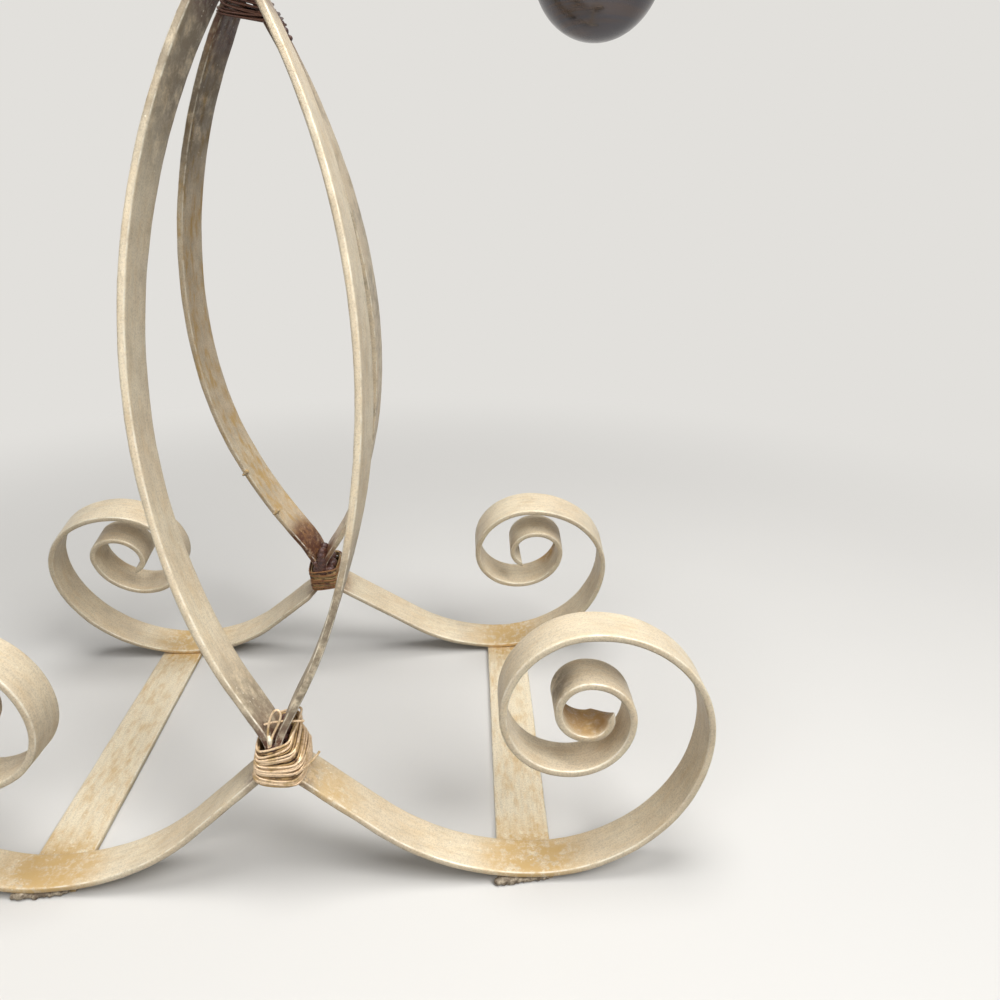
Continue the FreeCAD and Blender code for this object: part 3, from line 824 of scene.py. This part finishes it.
@made_once
def melted(name, first, second, flecked, roughness):
    """Skin of a melted lump: two tones in patches with pale flecks."""
    material, tools, shader, vector = new_material(name)
    skin = tools.group("Aged skin", Vector=vector)
    flecks = tools.group("Pale flecks", Vector=vector)["Flecks"]
    tones = tools.patches(vector, 420, 4, 0.65, 0.4, 0.62)
    base = tools.tint(tools.mix(tones, first, second), flecks, flecked, colours().iron_pale)
    rough = tools.scaled(tones, 0.2, roughness)
    metal = tools.times(skin["Blotches"], 0.2)
    tools.surface(shader, base, rough, metal, skin["Grain"], strength=0.6, depth=0.3 * MM)
    return material


@made_once
def dark_bronze(name):
    """Polished dark bronze with brown rubs and fine spinning lines."""
    material, tools, shader, vector = new_material(name)
    skin = tools.group("Aged skin", Vector=vector)
    lines = tools.noise(vector, 60, 3, 0.6, stretch=(0.15, 0.15, 14))
    rub = tools.times(skin["Blotches"], tools.ramp(lines, 0.35, 0.7))
    base = tools.mix(rub, colours().bronze, colours().bronze_warm)
    rough = tools.scaled(skin["Patches"], 0.16, 0.14)
    metal = tools.scaled(rub, -0.2, 0.85)
    height = tools.plus(tools.times(lines, 0.6), tools.times(skin["Grain"], 0.3))
    tools.surface(shader, base, rough, metal, height, strength=0.12, depth=0.2 * MM)
    return material


def foot_iron():
    return aged_iron("foot iron", pale_share=0.35, grey_share=0.2, ochre_share=0.3)


def lit_strap_iron():
    # The straps get a paler copy of the iron: painted light, which makes them as bright as well-lit up-facing
    # iron.
    return aged_iron("lit strap iron", pale_share=0.9, grey_share=0, ochre_share=0.75)


def upright_iron(frame_name, side):
    """The front uprights are pale and the rear left one is gold-rubbed; the rear right one is duller and
    darker as painted shade.
    """
    if frame_name == "front":
        return aged_iron("pale upright iron", pale_share=0.35, grey_share=0.3, ochre_share=0.3)
    if side == "left":
        return aged_iron("gold-rubbed upright iron", pale_share=0, grey_share=0.35, ochre_share=1.3)
    # The rear right upright gets a darker, greyer copy of the iron: painted shade for its side that faces
    # down and away from the light.
    return aged_iron("dull upright iron", pale_share=0, grey_share=0.85, ochre_share=0.3)


class CANDELABRA_OT_feet(bpy.types.Operator):
    """Draws out the four scrolled feet, each from one section of bar"""

    bl_idname = "candelabra.feet"
    bl_label = "Scrolled Feet"

    def execute(self, context):
        for lens, side, hand in frame_bars():
            self.draw_out(lens, side, hand)
        return {"FINISHED"}

    def draw_out(self, lens, side, hand):
        s = sizes()
        thick = s.bar_thickness
        slope = lens.slopes[hand]
        reach = lens.reaches[hand]
        sine, cosine = math.sin(slope), math.cos(slope)
        peak = lens.foot_peak(hand)
        drop = peak - thick / cosine - lens.strap_level
        sweep = (reach * sine - drop * cosine) / (1 - cosine)
        straight = (reach - (sweep - thick / 2) * sine) / cosine
        name = "%s_%s_foot" % (lens.name, side)
        start = (0, peak - thick / (2 * cosine))
        outward = Vector((hand, 0, 0))
        bar = Bar(name + "_scroll", s.bar_width, lens.waist, outward, lens.foot_up, start, -slope)
        bar.mitre_start(lens.waist.x)
        bar.run(straight)
        bar.bend(sweep - thick / 2, slope)
        turns = [QUARTER] * (len(lens.coil) - 1) + [lens.tip]
        for radius, turn in zip(lens.coil, turns):
            bar.bend(radius - thick / 2, turn)
        bar.drawn()
        bar.slant_tip(lens.tip_slant, -hand)
        if name == "rear_left_foot":
            bar.notch_start(*s.notch, -hand)
        forge(bar.done(), foot_iron(), name)


class CANDELABRA_OT_uprights(bpy.types.Operator):
    """Bows the four uprights and brings their necks parallel"""

    bl_idname = "candelabra.uprights"
    bl_label = "Bowed Uprights"

    def execute(self, context):
        for lens, side, hand in frame_bars():
            self.draw_out(lens, side, hand)
        return {"FINISHED"}

    def draw_out(self, lens, side, hand):
        s = sizes()
        radius, middle = lens.bow(hand)
        centre_x = lens.bows[hand] - radius
        low = -math.asin(middle / radius)
        high = math.atan2(lens.rise - middle, s.bar_thickness / 2 + s.neck_radius - centre_x)
        start = (centre_x + radius * math.cos(low), middle + radius * math.sin(low))
        name = "%s_%s_upright" % (lens.name, side)
        outward = lens.across * hand
        bar = Bar(name + "_bow", s.bar_width, lens.waist, outward, lens.up, start, low + QUARTER)
        bar.bend(radius, high - low)
        bar.bend(s.neck_radius, -high)
        bar.run(s.neck_length)
        bar.drawn()
        bar.draw_in(lens.draw_ins[hand], lens.draw_in_peaks[hand])
        bar.twist(lens.low_twists[hand], lens.twists[hand])
        forge(bar.done(), upright_iron(lens.name, side), name)


class CANDELABRA_OT_straps(bpy.types.Operator):
    """Lays the two cross straps under the feet"""

    bl_idname = "candelabra.straps"
    bl_label = "Cross Straps"

    def execute(self, context):
        s = sizes()
        overall = s.frame_spacing + s.bar_width - 2 * s.strap_set_back
        for node, toe in (("left_strap", -s.left_strap_toe), ("right_strap", 0)):
            middle = node_box(node)[2]
            along = Vector((toe, s.frame_spacing, 0)).normalized()
            bar = Bar(node + "_bar", s.strap_width, middle, along, UPWARD, (-overall / 2, 0), 0)
            bar.run(overall)
            forge(bar.done(), lit_strap_iron(), node)
        return {"FINISHED"}


class CANDELABRA_OT_top(bpy.types.Operator):
    """Bends the top strap and the two arched arms"""

    bl_idname = "candelabra.top"
    bl_label = "Top Strap and Arms"

    def execute(self, context):
        middle_x = node_box("top_strap")[2].x
        self.top_strap(middle_x)
        for side, hand in SIDES:
            self.arm(side, hand, middle_x)
        return {"FINISHED"}

    def top_strap(self, middle_x):
        """Follows the slanted tops of the front and the rear necks, with a level run between them."""
        s = sizes()
        wing = s.bar_width
        inner, turns = [], []
        for lens in frames():
            top = lens.waist + lens.up * (lens.rise + s.neck_length + s.fit_gap)
            half = lens.normal * (lens.facing * s.bar_width / 2)
            inner.append(top - half)
            turns.append(math.atan2((2 * half).z, lens.facing * (2 * half).y))
        front_turn, rear_turn = turns
        front_cut, rear_cut = (s.top_bend * math.tan(turn / 2) for turn in turns)
        level = max(corner.z for corner in inner) + s.bar_thickness / 2
        start = (inner[0].y - wing * math.cos(front_turn), level + wing * math.sin(front_turn))
        middle = Vector((middle_x, 0, 0))
        bar = Bar("top_strap_trough", s.strap_width, middle, Vector((0, 1, 0)), UPWARD, start, -front_turn)
        bar.run(wing - front_cut)
        bar.bend(s.top_bend, front_turn)
        bar.run(inner[1].y - inner[0].y - front_cut - rear_cut)
        bar.bend(s.top_bend, rear_turn)
        bar.run(wing - rear_cut)
        forge(bar.done(), foot_iron(), "top_strap")

    def arm(self, side, hand, middle_x):
        s = sizes()
        half = s.bar_thickness / 2
        node = side + "_arm"
        ring_low, ring_high, ring = node_box(side + "_cup_ring")
        ring_outer = (ring_high.x - ring_low.x) / 2
        near_end = abs(ring.x - middle_x) - ring_outer - s.arm_tail
        arch = (near_end - s.arm_flat) / (2 * math.sin(s.arm_angle)) - s.arm_bend
        origin = Vector((middle_x, 0, node_box(node)[0].z))
        bar = Bar(node + "_arch", s.bar_width, origin, Vector((hand, 0, 0)), UPWARD, (0, half), 0)
        bar.run(s.arm_flat)
        bar.bend(s.arm_bend - half, s.arm_angle)
        bar.bend(arch + half, -2 * s.arm_angle)
        bar.bend(s.arm_bend - half, s.arm_angle)
        bar.run(s.arm_tail - s.fit_gap)
        obj = bar.done()
        self.fit_to_ring(obj, ring.x, ring_outer + s.fit_gap, hand)
        forge(obj, foot_iron(), node)

    def fit_to_ring(self, obj, ring_x, radius, hand):
        """Hollows the end of an arm so that it follows the outside of its ring."""
        end_run = 0.1 * MM
        end = max(hand * vertex.co.x for vertex in obj.data.vertices)
        for vertex in obj.data.vertices:
            if hand * vertex.co.x > end - end_run:
                vertex.co.x = ring_x - hand * math.sqrt(radius ** 2 - vertex.co.y ** 2)


class CANDELABRA_OT_rings(bpy.types.Operator):
    """Hammers the two hoops that the cups hang in"""

    bl_idname = "candelabra.rings"
    bl_label = "Cup Rings"

    def execute(self, context):
        for node in ("left_cup_ring", "right_cup_ring"):
            self.hoop(node)
        return {"FINISHED"}

    def hoop(self, node):
        s = sizes()
        low, high, middle = node_box(node)
        outer = (high.x - low.x) / 2
        depth = high.z - low.z
        deselect_all()
        bpy.ops.mesh.primitive_cylinder_add(
            vertices=128, radius=outer, depth=depth, end_fill_type="NOTHING", location=middle
        )
        obj = bpy.context.object
        obj.name = node + "_hoop"
        settle()
        edit_all(obj, "EDGE")
        bpy.ops.mesh.subdivide(number_cuts=2)
        bpy.ops.object.mode_set(mode="OBJECT")
        apply_modifier(obj, "SOLIDIFY", thickness=s.ring_wall, offset=-1)
        round_edges(obj, s.ring_round, 50)
        self.mark_edges(obj, middle=middle.z, plain=depth / 2 - 0.9 * MM)
        dent(obj, depth=0.3 * MM, kind="forge scale")
        smooth(obj, 50)
        dress(obj, foot_iron(), "stand", "aged_iron", node)

    def mark_edges(self, obj, middle, plain):
        """Marks for the finish what lies further than the plain part from the middle height."""
        mark = obj.data.attributes.new("edge", "FLOAT", "POINT")
        for vertex in obj.data.vertices:
            mark.data[vertex.index].value = 1 if abs(vertex.co.z - middle) > plain else 0


class CANDELABRA_OT_cups(bpy.types.Operator):
    """Spins the two candle cups with their rolled rims"""

    bl_idname = "candelabra.cups"
    bl_label = "Candle Cups"

    def execute(self, context):
        for node in ("left_cup", "right_cup"):
            self.spun_cup(node)
        return {"FINISHED"}

    def spun_cup(self, node):
        s = sizes()
        low, high, middle = node_box(node)
        radius = (high.x - low.x) / 2 - s.cup_rim
        centre = (middle.x, middle.y, low.z + radius)
        deselect_all()
        bpy.ops.mesh.primitive_uv_sphere_add(segments=96, ring_count=48, radius=radius, location=centre)
        obj = bpy.context.object
        obj.name = node + "_bowl"
        settle()
        edit_all(obj, "VERT")
        bpy.ops.mesh.bisect(plane_co=centre, plane_no=(0, 0, 1), clear_outer=True)
        bpy.ops.mesh.select_mode(type="EDGE")
        bpy.ops.mesh.select_all(action="DESELECT")
        bpy.ops.mesh.select_non_manifold()
        wall = high.z - s.cup_wall - low.z - radius
        steps = 8
        for _ in range(steps):
            bpy.ops.mesh.extrude_edges_move(TRANSFORM_OT_translate={"value": (0, 0, wall / steps)})
        rim = (radius + s.cup_rim) / radius
        lip = 0.2 * MM
        bpy.ops.mesh.extrude_edges_move(TRANSFORM_OT_translate={"value": (0, 0, lip)})
        bpy.ops.transform.resize(value=(rim, rim, 1), center_override=(middle.x, middle.y, high.z))
        bpy.ops.object.mode_set(mode="OBJECT")
        outward_faces(obj)
        apply_modifier(obj, "SOLIDIFY", thickness=s.cup_wall, offset=-1, use_even_offset=True)
        round_edges(obj, s.cup_round, 40)
        smooth(obj, 45)
        dress(obj, dark_bronze("dark bronze"), node, "dark_bronze", node)


class Wrap:
    """Reach of one hand winding: heights at its left and right, and half widths row by row."""

    def __init__(self, left, right, left_rows, right_rows, sag):
        self.left = left
        self.right = right
        self.rows = {-1: left_rows, 1: right_rows}
        self.sag = sag

    def half(self, height, hand):
        """Half width at a height, read between the rows."""
        rows = self.rows[hand]
        for (low, low_half), (high, high_half) in zip(rows, rows[1:]):
            if height <= high:
                return mixed((low_half, high_half), max(0, (height - low) / (high - low)))
        return rows[-1][1]


class CANDELABRA_OT_bindings(bpy.types.Operator):
    """Winds the four wire bindings by hand, turn over turn"""

    bl_idname = "candelabra.bindings"
    bl_label = "Wire Bindings"

    def execute(self, context):
        f = colours()
        front, rear = frames()
        golden = bound_wire("rubbed wire", f.wire_gold, f.wire_olive, rust_share=0.02)
        rusty = bound_wire("rusty wire", f.brown_rust, f.red_rust, rust_share=0.2)
        sooty = bound_wire("sooty wire", f.red_rust, f.scale_purple, rust_share=0.3)
        # The inner turns are wound in a darker wire: painted shade under and between the outer turns.
        dark = bound_wire("inner wire", f.wire_olive, f.wire_dirt_and_shade, rust_share=0.12)
        neck = ((-19, 13.2), (-12, 9.3), (-6.5, 5.8), (0, 4.0), (8, 4.0))
        fan = Wrap(
            left=(-8.6, 5),
            right=(-11, 9.4),
            left_rows=((-13, 9.2), (-8, 7.7), (-2, 6.4), (4, 5.6), (9, 6.4), (14, 9)),
            right_rows=((-13, 9), (-8, 9.8), (-2, 9.8), (3, 7.8), (7, 6.2), (11, 7), (16, 9)),
            sag=3.4,
        )
        block = Wrap(
            left=(-12, 3.2),
            right=(-8.6, 5),
            left_rows=((-12.5, 6.6), (-6, 6.6), (0, 6.2), (3, 6.4), (6, 8.4)),
            right_rows=((-9, 9.4), (-5, 8.8), (0, 8.2), (5, 8.6), (8, 9.6)),
            sag=0.5,
        )
        collar = Wrap((-12.5, 7.5), (-12.5, 7.5), neck, neck, sag=0)
        long_collar = Wrap((-15, 7.5), (-17.6, 7.5), neck, neck, sag=0.3)
        self.bind(front, "lower", fan, (dark, golden), turns=(17, 19), seed=7, ends=self.fan_ends())
        self.bind(rear, "lower", block, (dark, rusty), turns=(13, 8), seed=19)
        self.bind(front, "upper", collar, (dark, golden), turns=(14, 8), seed=5)
        self.bind(rear, "upper", long_collar, (sooty, sooty), turns=(16, 10), seed=23)
        self.lumps(front, rear)
        return {"FINISHED"}

    def fan_ends(self):
        """Standing loop and loose ends of the front wire, in millimetres from the waist."""
        loop = (
            (-1.2, -11.2, 6), (-1.6, -11.4, 10), (-1.1, -11.2, 14.2), (-0.4, -10.9, 17.6), (1.1, -10.7, 20.4),
            (2.7, -10.6, 21.2), (4.1, -10.7, 20), (4, -10.9, 17.4), (2.1, -11.2, 13.8), (0.1, -11.4, 10.4),
            (-0.6, -11.2, 6.5),
        )
        end = ((9, -11.6, -6), (12.6, -11.6, -2.8), (15.5, -10.8, -0.5), (17.2, -10.2, 1.2), (18.6, -9.6, 3))
        cross = ((-3.5, -8, 13.4), (2, -7.2, 14.8), (8, -7.4, 14), (12.5, -8, 14.6))
        return [[Vector(point) for point in line] for line in (loop, end, cross)]

    def winding(self, lens, wrap, turns, lift, wander, seed):
        """Points of one hand-wound strand, in millimetres in the binding's own frame."""
        per_turn = 20
        squareness, late_rise, sag_stray, proud_share = 0.42, 1.4, 1.3, 0.4
        half_bar = sizes().bar_width / 2 / MM
        slope = lens.leaning / lens.rising
        chance = random.Random(seed)
        loose = [[chance.uniform(-1, 1) for _ in range(turns + 2)] for _ in range(4)]
        points = []
        for step in range(turns * per_turn + 1):
            turn, part = divmod(step, per_turn)
            whole = step / (turns * per_turn)
            left_stray, right_stray, proud, bow = (
                mixed(row[turn:turn + 2], part / per_turn) * wander for row in loose
            )
            around = 2 * math.pi * part / per_turn
            cosine, sine = math.cos(around), math.sin(around)
            round_x = math.copysign(abs(cosine) ** squareness, cosine)
            round_y = math.copysign(abs(sine) ** squareness, sine)
            left = mixed(wrap.left, whole) + left_stray
            right = mixed(wrap.right, whole ** late_rise) + right_stray
            level = mixed((left, right), (1 + round_x) / 2)
            if sine < 0:
                level -= (wrap.sag + sag_stray * bow) * sine * sine
            half = wrap.half(level + round_y * half_bar * slope, 1 if cosine > 0 else -1)
            out = lift + proud_share * abs(proud)
            points.append(Vector(((half + out) * round_x, (half_bar / lens.rising + out) * round_y, level)))
        return points

    def wire(self, name, strands):
        """Tubes of wire along smooth lines, made a mesh."""
        curve = bpy.data.curves.new(name, "CURVE")
        curve.dimensions = "3D"
        curve.bevel_depth = sizes().wire_diameter / 2
        curve.bevel_resolution = 2
        curve.resolution_u = 3
        curve.use_fill_caps = True
        for points in strands:
            spline = curve.splines.new("NURBS")
            spline.points.add(len(points) - 1)
            for target, point in zip(spline.points, points):
                target.co = (*point, 1)
            spline.order_u = 4
            spline.use_endpoint_u = True
        obj = bpy.data.objects.new(name, curve)
        bpy.context.collection.objects.link(obj)
        make_active(obj)
        bpy.ops.object.convert(target="MESH")
        obj = bpy.context.object
        smooth(obj, 60)
        return obj

    def bind(self, lens, level, wrap, materials, turns, seed, ends=()):
        """Close inner turns, looser outer turns over them, and the loose ends of the wire."""
        place = lens.at_waist if level == "lower" else lens.at_neck
        node = "%s_%s_binding" % (lens.name, level)
        lifts, wanders = (0.75, 1.5), (0.35, 1.5)
        loose_ends, replaced = ((), ends), ((), (node,))
        for rank, label in enumerate(("inner", "outer")):
            strand = self.winding(lens, wrap, turns[rank], lifts[rank], wanders[rank], seed + rank)
            placed = [[place(point * MM) for point in points] for points in (strand, *loose_ends[rank])]
            obj = self.wire("%s_%s_wire_%s" % (lens.name, level, label), placed)
            dress(obj, materials[rank], "stand", "binding_wire", *replaced[rank])

    def lumps(self, front, rear):
        """Near-white drops, lumps of melted scale and burrs: place and radius of each drop, in millimetres.
        """
        f = colours()
        near_white = melted("near-white drop", f.near_white_drop, f.iron_pale, flecked=0, roughness=0.4)
        # On the melted scale the pale flecks are painted glints.
        scale = melted("melted scale", f.scale_purple, f.red_rust, flecked=0.5, roughness=0.2)
        burr = melted("rubbed burr", f.ochre, f.iron_grey, flecked=0.3, roughness=0.45)
        lumps = {
            # A near-white drop at the foot of the front wire's loop.
            "front_tin_drop": (front.at_waist, near_white, (
                (-0.9, -11.6, 10.6, 0.9), (-0.6, -11.8, 9.4, 1.1), (-0.5, -11.7, 8.2, 0.9),
            )),
            "front_melted_scale": (front.at_waist, scale, (
                (0.5, -8.5, 3.5, 2.2), (1.5, -4, 4.5, 2.6), (2.5, 2, 5, 2.8), (2, 7, 6, 2.6),
                (3.5, -6, 7, 1.8),
            )),
            "rear_melted_scale": (rear.at_waist, scale, (
                (0.3, -8.8, 5.6, 2.7), (0.4, -8.6, 8.6, 2.9), (0.6, -8.4, 11.6, 3), (0.9, -8, 14.6, 2.8),
                (1.4, -7.4, 17.4, 2.2), (0.4, -3, 9, 3), (0.6, -2.6, 13, 3), (0.4, 3, 8, 3),
                (0.6, 4, 12, 2.6), (-2.4, -8, 3.8, 3.2), (1, -7.4, 2.6, 3.8), (4.8, -7.6, 3.4, 3.2),
                (-2.6, -2, 3, 3.4), (1, 0, 2.8, 4.2), (4.8, -1, 3.2, 3.6), (-1.6, 5, 3, 3.4),
                (3, 6, 3.4, 3.8), (-2.6, -9, 7, 2), (-3.6, -9, 9.6, 1.6),
            )),
            "rear_upright_high_burr": (rear.in_frame, burr, (
                (-33.9, -9.4, 73.6, 1.3), (-35, -9.8, 72.7, 1.1), (-36, -10.1, 71.9, 0.9),
            )),
            "rear_upright_low_burr": (rear.in_frame, burr, (
                (-20.2, -9.4, 47.4, 1.3), (-21.4, -9.8, 46.5, 1.2), (-22.6, -10.2, 45.8, 1),
            )),
            "rear_neck_scale": (rear.at_neck, scale, (
                (14.5, -8, -17.6, 1.7), (16, -8.4, -20, 1.5), (17.6, -8.6, -22.6, 1.3),
                (12.4, -9, -15.8, 1.6),
            )),
        }
        for name, (place, material, drops) in lumps.items():
            spots = [(place(Vector(drop[:3]) * MM), drop[3] * MM) for drop in drops]
            obj = melt_drops(name, spots, ripple=0.3 * MM, flow=14)
            dress(obj, material, "stand", "binding_wire")


def melt_drops(name, spots, ripple, flow):
    """Overlapping drops of metal, melted into one lump; the more flow, the smoother."""
    deselect_all()
    for index, (place, size) in enumerate(spots):
        bpy.ops.mesh.primitive_ico_sphere_add(subdivisions=3, radius=size, location=place)
        if index == 0:
            obj = bpy.context.object
            obj.name = name
            settle()
            bpy.ops.object.mode_set(mode="EDIT")
    bpy.ops.object.mode_set(mode="OBJECT")
    apply_modifier(obj, "REMESH", mode="VOXEL", voxel_size=0.3 * MM)
    apply_modifier(obj, "SMOOTH", factor=0.5, iterations=flow)
    dent(obj, ripple, "melted ripples")
    outward_faces(obj)
    smooth(obj, 70)
    return obj


class CANDELABRA_OT_welds(bpy.types.Operator):
    """Runs a low lumpy weld along each end of the cross straps"""

    bl_idname = "candelabra.welds"
    bl_label = "Strap Welds"

    def execute(self, context):
        s = sizes()
        edge = s.frame_spacing / 2 + s.bar_width / 2
        front_back, rear_back = s.weld_set_backs
        for side, hand in SIDES:
            middle = node_box(side + "_strap")[2].x
            swing = s.left_strap_toe / 2 if side == "left" else 0
            front = Vector((middle + swing, -edge + front_back, s.weld_height))
            rear = Vector((middle - swing, edge - rear_back, s.weld_height))
            self.bead("front_%s_weld" % side, front, -1, 31 + hand)
            self.bead("rear_%s_weld" % side, rear, 1, 57 + hand)
        return {"FINISHED"}

    def bead(self, name, middle, outward, seed):
        """Uneven low row of drops that thins out towards the right, in millimetres."""
        count = 18
        row, wave, drop_sizes = (-12.4, 9.4), (0.2, -0.9), (1.8, 1.2)
        f = colours()
        chance = random.Random(seed)
        spots = []
        for index in range(count):
            share = index / (count - 1)
            x = mixed(row, share)
            y = outward * mixed(wave, share) + chance.uniform(-0.5, 0.5)
            z = chance.uniform(-0.3, 0.3)
            size = mixed(drop_sizes, share) * chance.uniform(0.8, 1.15)
            spots.append((middle + Vector((x, y, z)) * MM, size * MM))
        obj = melt_drops(name, spots, ripple=0.8 * MM, flow=4)
        lowest = 0.05 * MM
        for vertex in obj.data.vertices:
            vertex.co.z = max(vertex.co.z, lowest)
        weld = melted("weld", f.iron_grey, f.iron_dark_and_shade, flecked=0.6, roughness=0.5)
        dress(obj, weld, "stand", "aged_iron")


class CANDELABRA_OT_stage(bpy.types.Operator):
    """Sets the pale floor, the soft lights and the camera"""

    bl_idname = "candelabra.stage"
    bl_label = "Stage"

    def execute(self, context):
        self.floor()
        self.world()
        for name, (place, width, power) in LAMPS.items():
            self.lamp(name, place, width, power)
        self.camera()
        context.scene.view_settings.view_transform = "Standard"
        return {"FINISHED"}

    def floor(self):
        """Pale floor that keeps shadows near the object and runs into the backdrop further out."""
        deselect_all()
        bpy.ops.mesh.primitive_circle_add(vertices=96, radius=6, fill_type="NGON", location=(0, 0, 0))
        floor = bpy.context.object
        floor.name = "floor"
        material, tools, shader, vector = new_material("pale floor")
        shares = (0.96, 0.98, 0.2)
        darker, lighter, dimmed = (tuple(value * share for value in colours().floor) for share in shares)
        black = (0, 0, 0)
        seen = self.seen(tools)
        pale = tools.mix(tools.patches(vector, 3, 3, 0.55, 0.3, 0.7), darker, lighter)
        distance = tools.node("ShaderNodeVectorMath", {0: vector}, operation="LENGTH")
        shadow_edge, backdrop_edge = 0.24, 0.85
        away = tools.ramp(distance.outputs["Value"], shadow_edge, backdrop_edge)
        near = tools.mix(seen, dimmed, pale)
        inputs = {
            "Base Color": tools.mix(away, near, black),
            "Emission Color": tools.mix(tools.times(away, seen), black, colours().floor),
            "Emission Strength": 1,
            "Roughness": 0.9,
            "Specular IOR Level": 0,
        }
        for label, value in inputs.items():
            tools.fill(shader.inputs[label], value)
        floor.data.materials.append(material)

    def seen(self, tools):
        """1 for rays that show the stage itself, 0 for its light on the object."""
        path = tools.node("ShaderNodeLightPath").outputs
        return tools.most(path["Is Camera Ray"], path["Is Glossy Ray"], path["Is Transmission Ray"])

    def world(self):
        world = bpy.data.worlds.new("studio")
        bpy.context.scene.world = world
        world.use_nodes = True
        tools = PatinaTools(world.node_tree)
        background = world.node_tree.nodes["Background"]
        tools.fill(background.inputs["Color"], colours().floor)
        strength = tools.scaled(self.seen(tools), 1 - WORLD_LIGHT, WORLD_LIGHT)
        tools.fill(background.inputs["Strength"], strength)

    def lamp(self, name, place, width, power):
        bpy.ops.object.light_add(type="AREA", location=place)
        lamp = bpy.context.object
        lamp.name = name
        lamp.data.shape = "DISK"
        lamp.data.size = width
        lamp.data.energy = power
        lamp.rotation_euler = (LIT_POINT - Vector(place)).to_track_quat("-Z", "Y").to_euler()

    def camera(self):
        turn = [math.radians(value) for value in CAMERA_TURN]
        bpy.ops.object.camera_add(location=CAMERA_PLACE, rotation=turn)
        camera = bpy.context.object
        camera.data.lens = CAMERA_LENS
        camera.data.sensor_width = 36
        camera.data.clip_start = 0.01
        bpy.context.scene.camera = camera


class CANDELABRA_PT_panel(bpy.types.Panel):
    """Lists the steps that make the candelabra"""

    bl_label = "Candelabra"
    bl_idname = "CANDELABRA_PT_panel"
    bl_space_type = "VIEW_3D"
    bl_region_type = "UI"
    bl_category = "Candelabra"

    def draw(self, context):
        for operator in PIECES:
            self.layout.operator(operator.bl_idname)
        for group in (context.scene.candelabra_sizes, context.scene.candelabra_finish):
            for name in group.bl_rna.properties.keys():
                if name not in ("rna_type", "name"):
                    self.layout.prop(group, name)


PIECES = (
    CANDELABRA_OT_stage,
    CANDELABRA_OT_feet,
    CANDELABRA_OT_uprights,
    CANDELABRA_OT_straps,
    CANDELABRA_OT_welds,
    CANDELABRA_OT_bindings,
    CANDELABRA_OT_top,
    CANDELABRA_OT_rings,
    CANDELABRA_OT_cups,
)
CLASSES = (CandelabraSizes, CandelabraFinish, *PIECES, CANDELABRA_PT_panel)


def register():
    for item in CLASSES:
        bpy.utils.register_class(item)
    bpy.types.Scene.candelabra_sizes = PointerProperty(type=CandelabraSizes)
    bpy.types.Scene.candelabra_finish = PointerProperty(type=CandelabraFinish)


def unregister():
    del bpy.types.Scene.candelabra_finish
    del bpy.types.Scene.candelabra_sizes
    for item in reversed(CLASSES):
        bpy.utils.unregister_class(item)


def main():
    register()
    bpy.ops.candelabra.stage()
    bpy.ops.candelabra.feet()
    bpy.ops.candelabra.uprights()
    bpy.ops.candelabra.straps()
    bpy.ops.candelabra.welds()
    bpy.ops.candelabra.bindings()
    bpy.ops.candelabra.top()
    bpy.ops.candelabra.rings()
    bpy.ops.candelabra.cups()
    bpy.context.view_layer.update()


if __name__ == "__main__":
    main()
